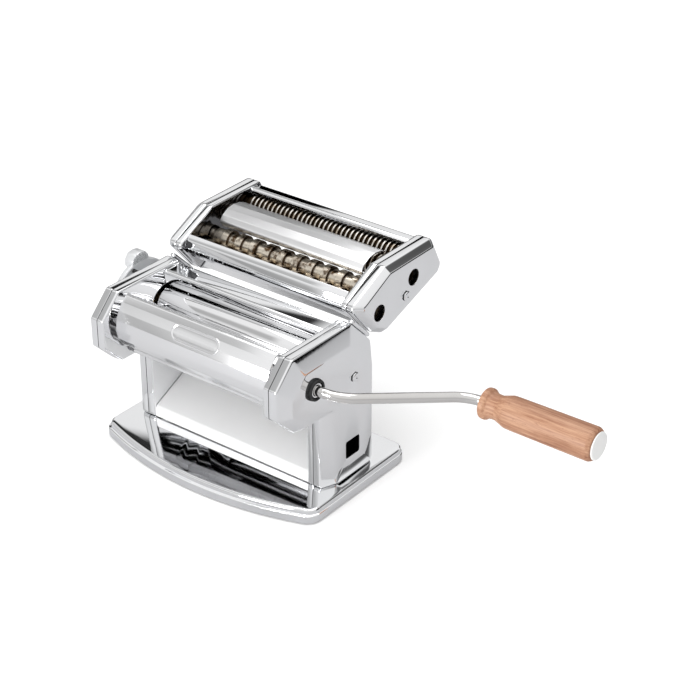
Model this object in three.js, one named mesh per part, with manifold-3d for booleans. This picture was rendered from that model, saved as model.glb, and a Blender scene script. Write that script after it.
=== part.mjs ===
// Hand-cranked pasta roller machine with a duplex cutter head, millimetres, +Z up.
// X runs along the rollers towards the crank, Y runs to the rear.
import * as THREE from "three";
import { mergeVertices } from "three/addons/utils/BufferGeometryUtils.js";
import Module from "manifold-3d";

const wasm = await Module();
wasm.setup();

// ---- driving dimensions -------------------------------------------------
const FIT = 0.3; // gap between pieces that touch
const RUN = 0.4; // gap between a shaft and its bearing
const SHEET = 1.2; // covers, chute and base pan
const CHEEK_SHEET = 1.5; // cheek plates

const ROLLER_LENGTH = 154;
const ROLLER_R = 16;
const GAP_OPEN = 2.2; // gap between the rollers with the dial at rest
const GAP_TRAVEL = 1.8; // how far the rear roller closes
const JOURNAL_R = 6;
const END_GAP = 1.5; // between a roller's end and the cheek

const AXIS_Z = 106.5; // roller axes above the table
const HEAD = { top: 32, front: 39, bottom: 28.5, chamferFront: 18.5, chamferRear: 23.5 };
const LEG = { front: 10.5, rear: 71.5 }; // from the front roller's axis
// insets of the side cover's flat face: foot, leg rear, then round over the head to the leg's front
const FACE = [0, 4, 15, 14.5, 17, 13, 8, 1.5, 12];
const RIM_WIDTH = 4;
const COVER_DEPTH = 12; // rim to the cover's flat face
const DRUM_DEPTH = 7; // straight part of the cover's edge

const BASE = { height: 12, rim: 1, skirt: 7.5, side: 10.3, front: 48, bow: 282, rear: 30.5, corner: 12 };
const FOOT = { radius: 8, inset: 18, frontInset: 17.8 };

const CLAMP_HOLE = { width: 16.7, height: 15, back: 43.85, z: 36 };
const RIVET = { head: 4, shank: 2, rise: 1.2, fromRear: 24.5, below: 11 };
const ROD_R = 4;
const SOCKET_DEPTH = 44;
const TONGUE = { thickness: 4, length: 7 };
const CRANK = { exit: 19.1, out: 56.5, radius: 88, angle: -12, neck: 13, bend: 15 };
const GRIP = { length: 95.8, radius: 12.8, neck: 10.2, collar: 12, cap: 11, recess: 8 };

const GEAR = { teeth: 12, width: 7, addendum: 2.3, dedendum: 2.9 };
const DIAL = { room: 3.4, radius: 32, thickness: 5, stand: 4.5, pull: 3, turn: 150, steps: 6 };
const LUG = { half: 9, foot: 9.2, shoulder: 0.8, crown: 2.2, proud: 4.5 };
const TAB = 2.4;
const CAM = { radius: 11.2, width: 5 };
const PIN = { radius: 1.5, orbit: 27.7, angle: 108 };

const CUT = { radius: 9, spacing: 16.9, groove: 1.7, wide: 10, fine: 34, side: 0.2 };
const CUT_GEAR = { teeth: 12, width: 6, addendum: 1.2, dedendum: 1.5 };
const CUT_JOURNAL_R = 5.4;
const CUTTER = { y: 76.3, z: 30.3, tilt: 16.4, pair: 44.5, bevel: 5 }; // place from the front roller's axis
const RAIL = { radius: 1.9, length: 30, width: 5.5 };

// ---- values worked out from them ---------------------------------------
const AXIS_Y = -36;
const X_IN = ROLLER_LENGTH / 2 + END_GAP;
const X_PLATE = X_IN + CHEEK_SHEET;
const X_RIM = X_PLATE + RIM_WIDTH;
const X_COVER = X_RIM + 2 * FIT;
const X_DRUM = X_RIM + DRUM_DEPTH;
const X_FACE = X_RIM + COVER_DEPTH;
const REAR_Y = AXIS_Y + 2 * ROLLER_R + GAP_OPEN;
const TOP_Z = AXIS_Z + HEAD.top;
const DECK_Z = BASE.height;
const LEG_REAR_Y = AXIS_Y + LEG.rear;
const LEG_FRONT_Y = AXIS_Y + LEG.front;
const BUSH_R = JOURNAL_R + RUN + 3;
// The dial's axis leaves room for the front bush, the block's travel, its tab and the cam.
const DIAL_Y = AXIS_Y + BUSH_R + GAP_TRAVEL + DIAL.room + TAB + FIT + CAM.radius;
const FULL = 2 * Math.PI;

// ---- materials ----------------------------------------------------------
const finish = (color, metalness, roughness) => (
  new THREE.MeshStandardMaterial({ color, metalness, roughness })
);
const CHROME = finish(0xe6e8ea, 1, 0.08);
const STEEL = finish(0xb9bcc0, 1, 0.25);
const DARK_STEEL = finish(0x6c6862, 1, 0.35);
const BRONZE = finish(0x9c8254, 1, 0.3);
const BLACK = finish(0x141414, 0, 0.5);
const GREY = finish(0xc9cbcc, 0.2, 0.4);
const BEECH = finish(0xb98057, 0, 0.6);
const WHITE = finish(0xf2f2f0, 0, 0.4);

// ---- shape helpers ------------------------------------------------------
/** Keeps only positions, merges equal vertices and turns the faces outwards. */
function closed(geometry) {
  const bare = new THREE.BufferGeometry();
  bare.setAttribute("position", geometry.getAttribute("position").clone());
  if (geometry.index) bare.setIndex(geometry.index.clone());
  const merged = mergeVertices(bare, 1e-4);
  const position = merged.getAttribute("position");
  const source = Array.from(merged.index.array);
  const corner = [new THREE.Vector3(), new THREE.Vector3(), new THREE.Vector3()];
  const index = [];
  let volume = 0;
  for (let i = 0; i < source.length; i += 3) {
    const [a, b, c] = source.slice(i, i + 3);
    if (a === b || b === c || a === c) continue;
    [a, b, c].forEach((v, k) => corner[k].fromBufferAttribute(position, v));
    volume += corner[0].dot(corner[1].clone().cross(corner[2]));
    index.push(a, b, c);
  }
  if (volume < 0) {
    for (let i = 0; i < index.length; i += 3) [index[i], index[i + 1]] = [index[i + 1], index[i]];
  }
  merged.setIndex(index);
  return merged;
}

/** Turns a closed geometry into a solid for cutting and joining. */
function solid(geometry) {
  const shell = closed(geometry);
  return new wasm.Manifold(new wasm.Mesh({
    numProp: 3,
    vertProperties: new Float32Array(shell.getAttribute("position").array),
    triVerts: new Uint32Array(shell.index.array),
  }));
}

/** Turns a solid back into a geometry. */
function geometryOf(body) {
  const data = body.getMesh();
  const geometry = new THREE.BufferGeometry();
  geometry.setAttribute("position", new THREE.BufferAttribute(new Float32Array(data.vertProperties), 3));
  geometry.setIndex(new THREE.BufferAttribute(new Uint32Array(data.triVerts), 1));
  return geometry;
}

/** Cuts each tool from a body; all are geometries. */
function cut(body, ...tools) {
  return geometryOf(tools.reduce((rest, tool) => rest.subtract(solid(tool)), solid(body)));
}

/** Joins geometries that overlap. */
function join(body, ...more) {
  return geometryOf(more.reduce((sum, piece) => sum.add(solid(piece)), solid(body)));
}

/** The mirror image across the middle of the machine. */
function mirrored(geometry) {
  const copy = geometry.clone();
  copy.scale(-1, 1, 1);
  return closed(copy);
}

/** A straight bar from x0 to x1 with a [y, z] outline. */
function bar(outline, x0, x1) {
  const shape = new THREE.Shape(outline.map(([y, z]) => new THREE.Vector2(y, z)));
  const geometry = new THREE.ExtrudeGeometry(shape, { depth: x1 - x0, bevelEnabled: false, steps: 1 });
  geometry.applyMatrix4(new THREE.Matrix4().set(0, 0, 1, x0, 1, 0, 0, 0, 0, 1, 0, 0, 0, 0, 0, 1));
  return geometry;
}

/** A closed body through rings of equal point counts; looped joins the last ring to the first. */
function loft(rings, looped = false) {
  const count = rings[0].length;
  const positions = rings.flat().flatMap((p) => [p.x, p.y, p.z]);
  const index = [];
  for (let r = 0; r + (looped ? 0 : 1) < rings.length; r += 1) {
    const next = ((r + 1) % rings.length) * count;
    for (let i = 0; i < count; i += 1) {
      const j = (i + 1) % count;
      index.push(r * count + i, r * count + j, next + j, r * count + i, next + j, next + i);
    }
  }
  const flatEnd = (ring) => {
    const across = ring[0].x === ring[1].x && ring[1].x === ring[2].x;
    return ring.map((p) => (across ? new THREE.Vector2(p.y, p.z) : new THREE.Vector2(p.x, p.y)));
  };
  const last = (rings.length - 1) * count;
  const caps = looped ? [] : [[rings[0], 0, true], [rings.at(-1), last, false]];
  for (const [ring, start, turn] of caps) {
    for (const [a, b, c] of THREE.ShapeUtils.triangulateShape(flatEnd(ring), [])) {
      index.push(start + (turn ? c : a), start + b, start + (turn ? a : c));
    }
  }
  const geometry = new THREE.BufferGeometry();
  geometry.setAttribute("position", new THREE.BufferAttribute(new Float32Array(positions), 3));
  geometry.setIndex(index);
  return geometry;
}

const ringAt = (outline, x) => outline.map(([y, z]) => new THREE.Vector3(x, y, z));

/** A turned piece about an X axis through (y, z); the profile is [[x, radius], ...], ends on the axis. */
function turned(profile, y, z, segments = 24) {
  const points = profile.map(([x, r]) => new THREE.Vector2(r, x));
  const geometry = new THREE.LatheGeometry(points, segments);
  geometry.rotateZ(-Math.PI / 2);
  geometry.rotateX(Math.PI / segments);
  geometry.translate(0, y, z);
  return geometry;
}

/** A round bar along X. */
function rod(x0, x1, radius, y, z, segments = 24) {
  return turned([[x0, 0], [x0, radius], [x1, radius], [x1, 0]], y, z, segments);
}

/** A round ring along X. */
function ring(x0, x1, inner, outer, y, z, segments = 24) {
  return turned([[x0, inner], [x0, outer], [x1, outer], [x1, inner], [x0, inner]], y, z, segments);
}

function box(x0, x1, y0, y1, z0, z1) {
  const geometry = new THREE.BoxGeometry(x1 - x0, y1 - y0, z1 - z0);
  geometry.translate((x0 + x1) / 2, (y0 + y1) / 2, (z0 + z1) / 2);
  return geometry;
}

/** Points of a circular arc in [y, z], angles in degrees. */
function arc(y, z, radius, from, to, steps) {
  return Array.from({ length: steps + 1 }, (_, i) => {
    const t = THREE.MathUtils.degToRad(from + ((to - from) * i) / steps);
    return [y + radius * Math.cos(t), z + radius * Math.sin(t)];
  });
}

/** The closed outline of a sheet of constant thickness folded along a [y, z] path. */
function folded(path, thickness) {
  const side = path.map((point, i) => {
    const before = path[Math.max(i - 1, 0)];
    const after = path[Math.min(i + 1, path.length - 1)];
    const normalOf = (p, q) => {
      const run = Math.hypot(q[0] - p[0], q[1] - p[1]);
      return new THREE.Vector2(-(q[1] - p[1]) / run, (q[0] - p[0]) / run);
    };
    const first = i === 0 ? normalOf(point, after) : normalOf(before, point);
    const second = i === path.length - 1 ? first : normalOf(point, after);
    const mitre = first.clone().add(second).normalize();
    const reach = thickness / Math.max(mitre.dot(first), 0.3);
    return [point[0] + mitre.x * reach, point[1] + mitre.y * reach];
  });
  return [...path, ...side.reverse()];
}

/** A spur gear along X; phase turns it by that share of a tooth. */
function gear(spec, pitchR, boreR, x0, x1, y, z, phase) {
  const step = FULL / spec.teeth;
  const tip = pitchR + spec.addendum;
  const root = pitchR - spec.dedendum;
  const outline = [];
  for (let i = 0; i < spec.teeth; i += 1) {
    const middle = (i + phase) * step;
    const flank = [[0.1, tip], [0.21, pitchR], [0.31, root]];
    const tooth = [...flank.map(([share, radius]) => [-share, radius]).reverse(), ...flank];
    for (const [share, radius] of tooth) {
      const t = middle + share * step;
      outline.push([y + radius * Math.cos(t), z + radius * Math.sin(t)]);
    }
  }
  return cut(bar(outline, x0, x1), rod(x0 - 1, x1 + 1, boreR, y, z));
}

// ---- outlines of the end plates ----------------------------------------
/** Moves the edges of a counterclockwise outline inwards, by one distance or one for each edge. */
function insetOutline(corners, distances) {
  const count = corners.length;
  const lines = corners.map(([y, z], i) => {
    const [toY, toZ] = corners[(i + 1) % count];
    const run = Math.hypot(toY - y, toZ - z);
    const along = [(toY - y) / run, (toZ - z) / run];
    const by = Array.isArray(distances) ? distances[i] : distances;
    return { point: [y - along[1] * by, z + along[0] * by], along };
  });
  return lines.map((line, i) => {
    const before = lines[(i + count - 1) % count];
    const across = before.along[0] * line.along[1] - before.along[1] * line.along[0];
    const dy = line.point[0] - before.point[0];
    const dz = line.point[1] - before.point[1];
    const t = (dy * line.along[1] - dz * line.along[0]) / across;
    return [before.point[0] + before.along[0] * t, before.point[1] + before.along[1] * t];
  });
}

/** Cuts each corner of an outline off, so far along its edges. */
function eased(corners, length) {
  const count = corners.length;
  const towards = (corner, to) => {
    const run = Math.hypot(to[0] - corner[0], to[1] - corner[1]);
    const share = Math.min(length / run, 0.4);
    return [corner[0] + (to[0] - corner[0]) * share, corner[1] + (to[1] - corner[1]) * share];
  };
  return corners.flatMap((corner, i) => [
    towards(corner, corners[(i + count - 1) % count]), towards(corner, corners[(i + 1) % count]),
  ]);
}

/** Eight-sided head over a straight leg, from the leg's front foot round the back. */
const headFront = AXIS_Y - HEAD.front;
const headBottom = AXIS_Z - HEAD.bottom;
const END = [
  [LEG_FRONT_Y, DECK_Z + FIT], [LEG_REAR_Y, DECK_Z + FIT], [LEG_REAR_Y, TOP_Z - HEAD.chamferRear],
  [LEG_REAR_Y - HEAD.chamferRear, TOP_Z], [headFront + HEAD.chamferFront, TOP_Z],
  [headFront, TOP_Z - HEAD.chamferFront], [headFront, headBottom + HEAD.chamferFront],
  [headFront + HEAD.chamferFront, headBottom], [LEG_FRONT_Y, headBottom],
];

const parts = [];
const cutterParts = [];
const piece = (name, geometry, material, list = parts) => list.push([name, closed(geometry), material]);

// ---- base ---------------------------------------------------------------
/** Plan outline of the base: straight sides and rear, bowed front, round corners. */
function basePlan(inset, frontInset, z) {
  const half = X_FACE + BASE.side - inset;
  const rear = LEG_REAR_Y + BASE.rear - inset;
  const radius = BASE.corner - inset;
  const bow = BASE.bow - inset;
  const bowY = LEG_FRONT_Y - BASE.front + frontInset + bow;
  const cornerX = half - radius;
  const cornerY = bowY - Math.sqrt((bow - radius) ** 2 - cornerX ** 2);
  const meet = THREE.MathUtils.radToDeg(Math.atan2(bowY - cornerY, cornerX));
  return [
    ...arc(cornerX, rear - radius, radius, 0, 90, 4), ...arc(-cornerX, rear - radius, radius, 90, 180, 4),
    ...arc(-cornerX, cornerY, radius, 180, 180 + meet, 4),
    ...arc(0, bowY, bow, 180 + meet, 360 - meet, 9).slice(1),
    ...arc(cornerX, cornerY, radius, 360 - meet, 360, 4).slice(1),
  ].map(([x, y]) => new THREE.Vector3(x, y, z));
}

/** Two-tier pressing: a straight skirt, a small step and a round shoulder up to the deck. */
function basePan() {
  const under = SHEET * 0.7;
  const outer = loft([
    basePlan(0, 0, BASE.rim), basePlan(0, 0, BASE.skirt), basePlan(0.9, 1.6, BASE.skirt + 0.8),
    basePlan(1.2, 3, DECK_Z - 1.2), basePlan(2, 5, DECK_Z),
  ]);
  const inner = loft([
    basePlan(SHEET, SHEET, BASE.rim - 1), basePlan(SHEET, SHEET, BASE.skirt - under),
    basePlan(0.9 + SHEET, 1.6 + SHEET, BASE.skirt), basePlan(2.6 + SHEET, 5.6 + SHEET, DECK_Z - SHEET),
  ]);
  return cut(outer, inner);
}
piece("base_pan", basePan(), CHROME);

const footX = X_FACE + BASE.side - FOOT.inset;
const footRearY = LEG_REAR_Y + BASE.rear - FOOT.inset;
const bowCentreY = LEG_FRONT_Y - BASE.front + BASE.bow;
const footFrontY = bowCentreY - Math.sqrt(BASE.bow ** 2 - footX ** 2) + FOOT.frontInset;
for (const [name, sx, y] of [
  ["foot_front_left", -1, footFrontY], ["foot_front_right", 1, footFrontY],
  ["foot_rear_left", -1, footRearY], ["foot_rear_right", 1, footRearY],
]) {
  const foot = new THREE.CylinderGeometry(FOOT.radius * 0.8, FOOT.radius, DECK_Z - SHEET - FIT, 16);
  foot.rotateX(Math.PI / 2);
  foot.translate(sx * footX, y, (DECK_Z - SHEET - FIT) / 2);
  piece(name, foot, BLACK);
}

// ---- cheek plates and side covers --------------------------------------
const BLOCK_HALF = 10;
const rivetY = LEG_REAR_Y - RIVET.fromRear;
const rivetZ = AXIS_Z - RIVET.below;

function cheek() {
  const plate = bar(END, X_IN, X_RIM);
  const hollow = bar(insetOutline(END, CHEEK_SHEET), X_PLATE, X_RIM + 1);
  const bushHole = rod(X_IN - 1, X_RIM + 1, BUSH_R + FIT, AXIS_Y, AXIS_Z);
  const slot = box(
    X_IN - 1, X_RIM + 1,
    REAR_Y - BLOCK_HALF - FIT - GAP_TRAVEL, REAR_Y + BLOCK_HALF + FIT,
    AXIS_Z - BLOCK_HALF - FIT, AXIS_Z + BLOCK_HALF + FIT,
  );
  return cut(plate, hollow, bushHole, slot);
}
piece("right_cheek", cheek(), CHROME);
piece("left_cheek", mirrored(cheek()), CHROME);

/** Pressed side cover with a bevelled head, before its holes. */
function sideCover() {
  const faceInside = FACE.map((by) => by + SHEET);
  const outer = loft([
    ringAt(END, X_COVER), ringAt(END, X_DRUM), ringAt(insetOutline(END, FACE), X_FACE),
  ]);
  const inner = loft([
    ringAt(insetOutline(END, SHEET), X_COVER - 1), ringAt(insetOutline(END, SHEET), X_DRUM - SHEET / 2),
    ringAt(insetOutline(END, faceInside), X_FACE - SHEET),
  ]);
  return cut(outer, inner, rod(X_COVER, X_FACE + 1, RIVET.shank + FIT, rivetY, rivetZ, 12));
}

const SOCKET_RING_R = JOURNAL_R + RUN + 2;
const clampY = AXIS_Y + CLAMP_HOLE.back;
const clampHole = box(
  X_DRUM, X_FACE + 1,
  clampY - CLAMP_HOLE.width / 2, clampY + CLAMP_HOLE.width / 2,
  CLAMP_HOLE.z - CLAMP_HOLE.height / 2, CLAMP_HOLE.z + CLAMP_HOLE.height / 2,
);
const socketHole = rod(X_DRUM, X_FACE + 1, SOCKET_RING_R + FIT, AXIS_Y, AXIS_Z);
piece("right_side_cover", cut(sideCover(), clampHole, socketHole), CHROME);

const SHAFT_R = 4;
const pinPlace = (degrees) => {
  const t = THREE.MathUtils.degToRad(degrees);
  return [DIAL_Y + PIN.orbit * Math.cos(t), AXIS_Z + PIN.orbit * Math.sin(t)];
};
const dialHole = rod(-X_FACE - 1, -X_DRUM, SHAFT_R + RUN, DIAL_Y, AXIS_Z);
const indexHoles = Array.from({ length: DIAL.steps + 1 }, (_, i) => (
  rod(-X_FACE - 1, -X_DRUM + 3, PIN.radius + FIT, ...pinPlace(PIN.angle + (i * DIAL.turn) / DIAL.steps), 8)
));
piece("left_side_cover", cut(mirrored(sideCover()), dialHole, ...indexHoles), CHROME);

/** A rivet clinched on the inside, its domed head just clear of the sheet. */
function rivet(inside, y, z) {
  return turned([
    [inside - 1.3, 0], [inside - 1.3, RIVET.head - 1], [inside, RIVET.head - 1], [inside, RIVET.shank],
    [X_FACE + FIT, RIVET.shank], [X_FACE + FIT, RIVET.head],
    [X_FACE + FIT + RIVET.rise * 0.6, RIVET.head * 0.8], [X_FACE + FIT + RIVET.rise, 0],
  ], y, z, 12);
}
const coverRivet = rivet(X_FACE - SHEET - FIT, rivetY, rivetZ);
piece("right_cover_rivet", coverRivet, CHROME);
piece("left_cover_rivet", mirrored(coverRivet), CHROME);

const ringBore = JOURNAL_R + RUN;
const socketRing = turned([
  [X_DRUM + 2.5, ringBore], [X_DRUM + 2.5, SOCKET_RING_R], [X_FACE + 1.6, SOCKET_RING_R],
  [X_FACE + 2.2, SOCKET_RING_R - 0.6], [X_FACE + 2.2, ringBore], [X_DRUM + 2.5, ringBore],
], AXIS_Y, AXIS_Z);
piece("socket_ring", socketRing, BLACK);

// ---- sheet covers, chute, rods and scrapers ----------------------------
const X_SHEET = X_IN - FIT;
const rel = (dy, dz) => [AXIS_Y + dy, AXIS_Z + dz];
const frontPath = [
  rel(-9.5, HEAD.top - 8), rel(-12, HEAD.top - 3.4), rel(-16, HEAD.top - 2),
  rel(-21, 25.4), rel(-25.4, 19.6), rel(-28.4, 12.4), rel(-29.4, 4.5), rel(-28, -3.2), rel(-24.6, -9.2),
  rel(-20, -13.2), rel(-17.6, -18.8), rel(-12.5, -20.5),
];
piece("front_cover", bar(folded(frontPath, SHEET), -X_SHEET, X_SHEET), CHROME);

const rearTopY = LEG_REAR_Y - HEAD.chamferRear;
const rearPath = [
  [REAR_Y - 2.5, AXIS_Z + ROLLER_R + 1.4], [REAR_Y - 4.5, TOP_Z - 3.5], [REAR_Y - 2.5, TOP_Z - 2],
  [rearTopY - 1.5, TOP_Z - 1.6], [LEG_REAR_Y - 2.5, TOP_Z - HEAD.chamferRear - 2],
  [LEG_REAR_Y - 2.5, AXIS_Z - 40],
];
piece("rear_cover", bar(folded(rearPath, -SHEET), -X_SHEET, X_SHEET), CHROME);

const CHUTE = { foldY: 12, foldZ: 22.3, slope: 24.7 };
const chuteY = AXIS_Y + CHUTE.foldY;
const chuteRun = LEG_REAR_Y - 6 - chuteY;
const chuteRise = chuteRun * Math.tan(THREE.MathUtils.degToRad(CHUTE.slope));
const chutePath = [
  [chuteY, DECK_Z + FIT + 0.6], [chuteY, CHUTE.foldZ - 2], [chuteY + 2, CHUTE.foldZ],
  [chuteY + chuteRun, CHUTE.foldZ + chuteRise],
];
piece("chute", bar(folded(chutePath, -SHEET), -X_SHEET, X_SHEET), CHROME);

for (const [name, y, z, radius] of [
  ["front_tie_rod", AXIS_Y - ROLLER_R - 5, AXIS_Z - 2, 2.4],
  ["rear_tie_rod", REAR_Y + ROLLER_R + 8, AXIS_Z, 4],
  ["lower_tie_rod", clampY + 14, CLAMP_HOLE.z - 6, 4],
]) {
  piece(name, rod(-X_SHEET, X_SHEET, radius, y, z, 12), STEEL);
}

for (const [name, y, way] of [["front_scraper", AXIS_Y, -1], ["rear_scraper", REAR_Y + GAP_TRAVEL, 1]]) {
  const tip = ROLLER_R + 0.7;
  const strip = [
    [y, AXIS_Z - tip], [y + way * 5, AXIS_Z - tip - 4], [y + way * 9, AXIS_Z - tip - 4],
    [y + way * 9, AXIS_Z - tip - 6.5], [y + way * 3, AXIS_Z - tip - 6.5],
  ];
  piece(name, bar(strip, -X_SHEET, X_SHEET), STEEL);
}

// ---- rollers, bearings, gears ------------------------------------------
for (const [name, flip] of [["front_bush_right", false], ["front_bush_left", true]]) {
  const shape = ring(X_IN - 1, X_PLATE + 2.4, JOURNAL_R + RUN, BUSH_R, AXIS_Y, AXIS_Z);
  piece(name, flip ? mirrored(shape) : shape, BRONZE);
}

const halfRoller = ROLLER_LENGTH / 2;
const socketEnd = X_FACE + 1.2;
const socketFloor = socketEnd - SOCKET_DEPTH;
const frontBlank = turned([
  [-X_RIM, 0], [-X_RIM, JOURNAL_R], [-halfRoller, JOURNAL_R], [-halfRoller, ROLLER_R], [halfRoller, ROLLER_R],
  [halfRoller, JOURNAL_R], [socketEnd, JOURNAL_R], [socketEnd, 0],
], AXIS_Y, AXIS_Z, 28);
const tongueSlot = box(
  socketFloor - TONGUE.length - 1, socketFloor + 0.1,
  AXIS_Y - TONGUE.thickness / 2 - FIT, AXIS_Y + TONGUE.thickness / 2 + FIT, AXIS_Z - ROD_R, AXIS_Z + ROD_R,
);
const rodBore = rod(socketFloor, socketEnd + 1, ROD_R + FIT, AXIS_Y, AXIS_Z);
piece("front_roller", cut(frontBlank, rodBore, tongueSlot), STEEL);

const GEAR_X = X_COVER + 0.9;
const rearShape = turned([
  [-X_RIM, 0], [-X_RIM, JOURNAL_R], [-halfRoller, JOURNAL_R], [-halfRoller, ROLLER_R], [halfRoller, ROLLER_R],
  [halfRoller, JOURNAL_R], [GEAR_X + GEAR.width + 1, JOURNAL_R], [GEAR_X + GEAR.width + 1, 0],
], REAR_Y, AXIS_Z, 28);
piece("rear_roller", rearShape, STEEL);

const gearPitch = ROLLER_R + (GAP_OPEN - GAP_TRAVEL) / 2;
const gearEnd = GEAR_X + GEAR.width;
piece("front_gear", gear(GEAR, gearPitch, JOURNAL_R + FIT, GEAR_X, gearEnd, AXIS_Y, AXIS_Z, 0), DARK_STEEL);
piece("rear_gear", gear(GEAR, gearPitch, JOURNAL_R + FIT, GEAR_X, gearEnd, REAR_Y, AXIS_Z, 0.5), DARK_STEEL);

const camX = -X_COVER - 1.4;
function bearingBlock() {
  const blank = box(
    X_IN + FIT, X_RIM - FIT,
    REAR_Y - BLOCK_HALF, REAR_Y + BLOCK_HALF,
    AXIS_Z - BLOCK_HALF, AXIS_Z + BLOCK_HALF,
  );
  return cut(blank, rod(X_IN, X_RIM, JOURNAL_R + RUN, REAR_Y, AXIS_Z));
}
piece("rear_bearing_right", bearingBlock(), BRONZE);

/** The left block reaches out to a tab that the cam pushes towards the front roller. */
function camBlock() {
  const tabRear = DIAL_Y - CAM.radius - FIT;
  const tabFront = tabRear - TAB;
  const armInside = -X_PLATE - FIT - 0.3;
  const arm = box(-X_RIM + FIT, armInside, tabFront, REAR_Y - JOURNAL_R - RUN - 1.5, AXIS_Z - 6, AXIS_Z + 6);
  const tab = box(camX - CAM.width - 0.5, armInside, tabFront, tabRear, AXIS_Z - 6, AXIS_Z + 6);
  return join(mirrored(bearingBlock()), arm, tab);
}
piece("rear_bearing_left", camBlock(), BRONZE);

// ---- crank --------------------------------------------------------------
const armAngle = THREE.MathUtils.degToRad(CRANK.angle);
const gripY = AXIS_Y + CRANK.radius * Math.cos(armAngle);
const gripZ = AXIS_Z + CRANK.radius * Math.sin(armAngle);
const knee1 = new THREE.Vector3(socketEnd + CRANK.exit, AXIS_Y, AXIS_Z);
const knee2 = new THREE.Vector3(knee1.x + CRANK.out, gripY, gripZ);
const gripStart = knee2.x + CRANK.neck;
const gripEnd = gripStart + GRIP.length;
const rodTip = gripEnd - 12;

/** A round bend between two straight stretches of the rod. */
function bend(knee, from, to) {
  const a = knee.clone().add(from.clone().sub(knee).setLength(CRANK.bend));
  const b = knee.clone().add(to.clone().sub(knee).setLength(CRANK.bend));
  return new THREE.QuadraticBezierCurve3(a, knee, b);
}

function crankRod() {
  const start = new THREE.Vector3(socketFloor + FIT, AXIS_Y, AXIS_Z);
  const end = new THREE.Vector3(rodTip, gripY, gripZ);
  const first = bend(knee1, start, knee2);
  const second = bend(knee2, knee1, end);
  const points = [start];
  for (const curve of [first, second]) points.push(...curve.getPoints(6));
  points.push(end);
  const path = new THREE.CurvePath();
  for (let i = 0; i + 1 < points.length; i += 1) path.add(new THREE.LineCurve3(points[i], points[i + 1]));
  // rings stand square to the path at every point, with one flat side kept level
  const side = new THREE.Vector3(0, Math.cos(armAngle), Math.sin(armAngle));
  const lift = new THREE.Vector3(1, 0, 0).cross(side).normalize();
  const rings = points.map((point, i) => {
    const before = points[Math.max(i - 1, 0)];
    const after = points[Math.min(i + 1, points.length - 1)];
    const along = after.clone().sub(before).normalize();
    const across = lift.clone().cross(along).normalize();
    return Array.from({ length: 16 }, (_, k) => {
      const t = ((k + 0.5) * FULL) / 16;
      return point.clone()
        .addScaledVector(across, ROD_R * Math.cos(t))
        .addScaledVector(lift, ROD_R * Math.sin(t));
    });
  });
  const tongue = box(
    socketFloor - TONGUE.length + FIT, socketFloor + 2,
    AXIS_Y - TONGUE.thickness / 2, AXIS_Y + TONGUE.thickness / 2, AXIS_Z - ROD_R * 0.8, AXIS_Z + ROD_R * 0.8,
  );
  return join(loft(rings), tongue);
}
piece("crank_rod", crankRod(), CHROME);

const clipX = rodTip - 3;
const recessX = clipX - RUN;
const gripProfile = [
  [gripStart, ROD_R + RUN], [gripStart, GRIP.collar - 1.6], [gripStart + 1.6, GRIP.collar],
  [gripStart + 5, GRIP.collar], [gripStart + 7.5, GRIP.neck], [gripStart + 14, GRIP.neck],
  [gripStart + 19, GRIP.radius - 0.6], [gripStart + 26, GRIP.radius], [gripEnd - 3, GRIP.radius + 0.4],
  [gripEnd, GRIP.radius - 1], [gripEnd, GRIP.recess], [recessX, GRIP.recess], [recessX, ROD_R + RUN],
  [gripStart, ROD_R + RUN],
];
piece("crank_grip", turned(gripProfile, gripY, gripZ, 28), BEECH);
piece("grip_clip", ring(clipX, clipX + 1.2, ROD_R + FIT, GRIP.recess - 1, gripY, gripZ, 16), STEEL);
const capStem = GRIP.recess - FIT;
piece("grip_end_cap", turned([
  [gripEnd - 5, 0], [gripEnd - 5, capStem], [gripEnd + FIT, capStem], [gripEnd + FIT, GRIP.cap],
  [gripEnd + 1.4, GRIP.cap - 0.5], [gripEnd + 1.9, 0],
], gripY, gripZ, 28), WHITE);

// ---- gap adjuster -------------------------------------------------------
const dialIn = -X_FACE - DIAL.stand;
const dialOut = dialIn - DIAL.thickness;
const hubOut = dialOut - 3;

/** Shaft with a snail cam whose radius grows by the gap's travel over the dial's turn. */
function camShaft() {
  const outline = Array.from({ length: 48 }, (_, i) => {
    const turn = (i * 360) / 48;
    const lift = turn > 315 ? 0 : Math.min(turn / DIAL.turn, 1) * GAP_TRAVEL;
    const t = THREE.MathUtils.degToRad(turn);
    return [DIAL_Y - (CAM.radius + lift) * Math.cos(t), AXIS_Z + (CAM.radius + lift) * Math.sin(t)];
  });
  const shaft = rod(hubOut - 2.2, camX - 0.5, SHAFT_R, DIAL_Y, AXIS_Z, 20);
  return join(bar(outline, camX - CAM.width, camX), shaft);
}
piece("adjuster_shaft", camShaft(), STEEL);

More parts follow.
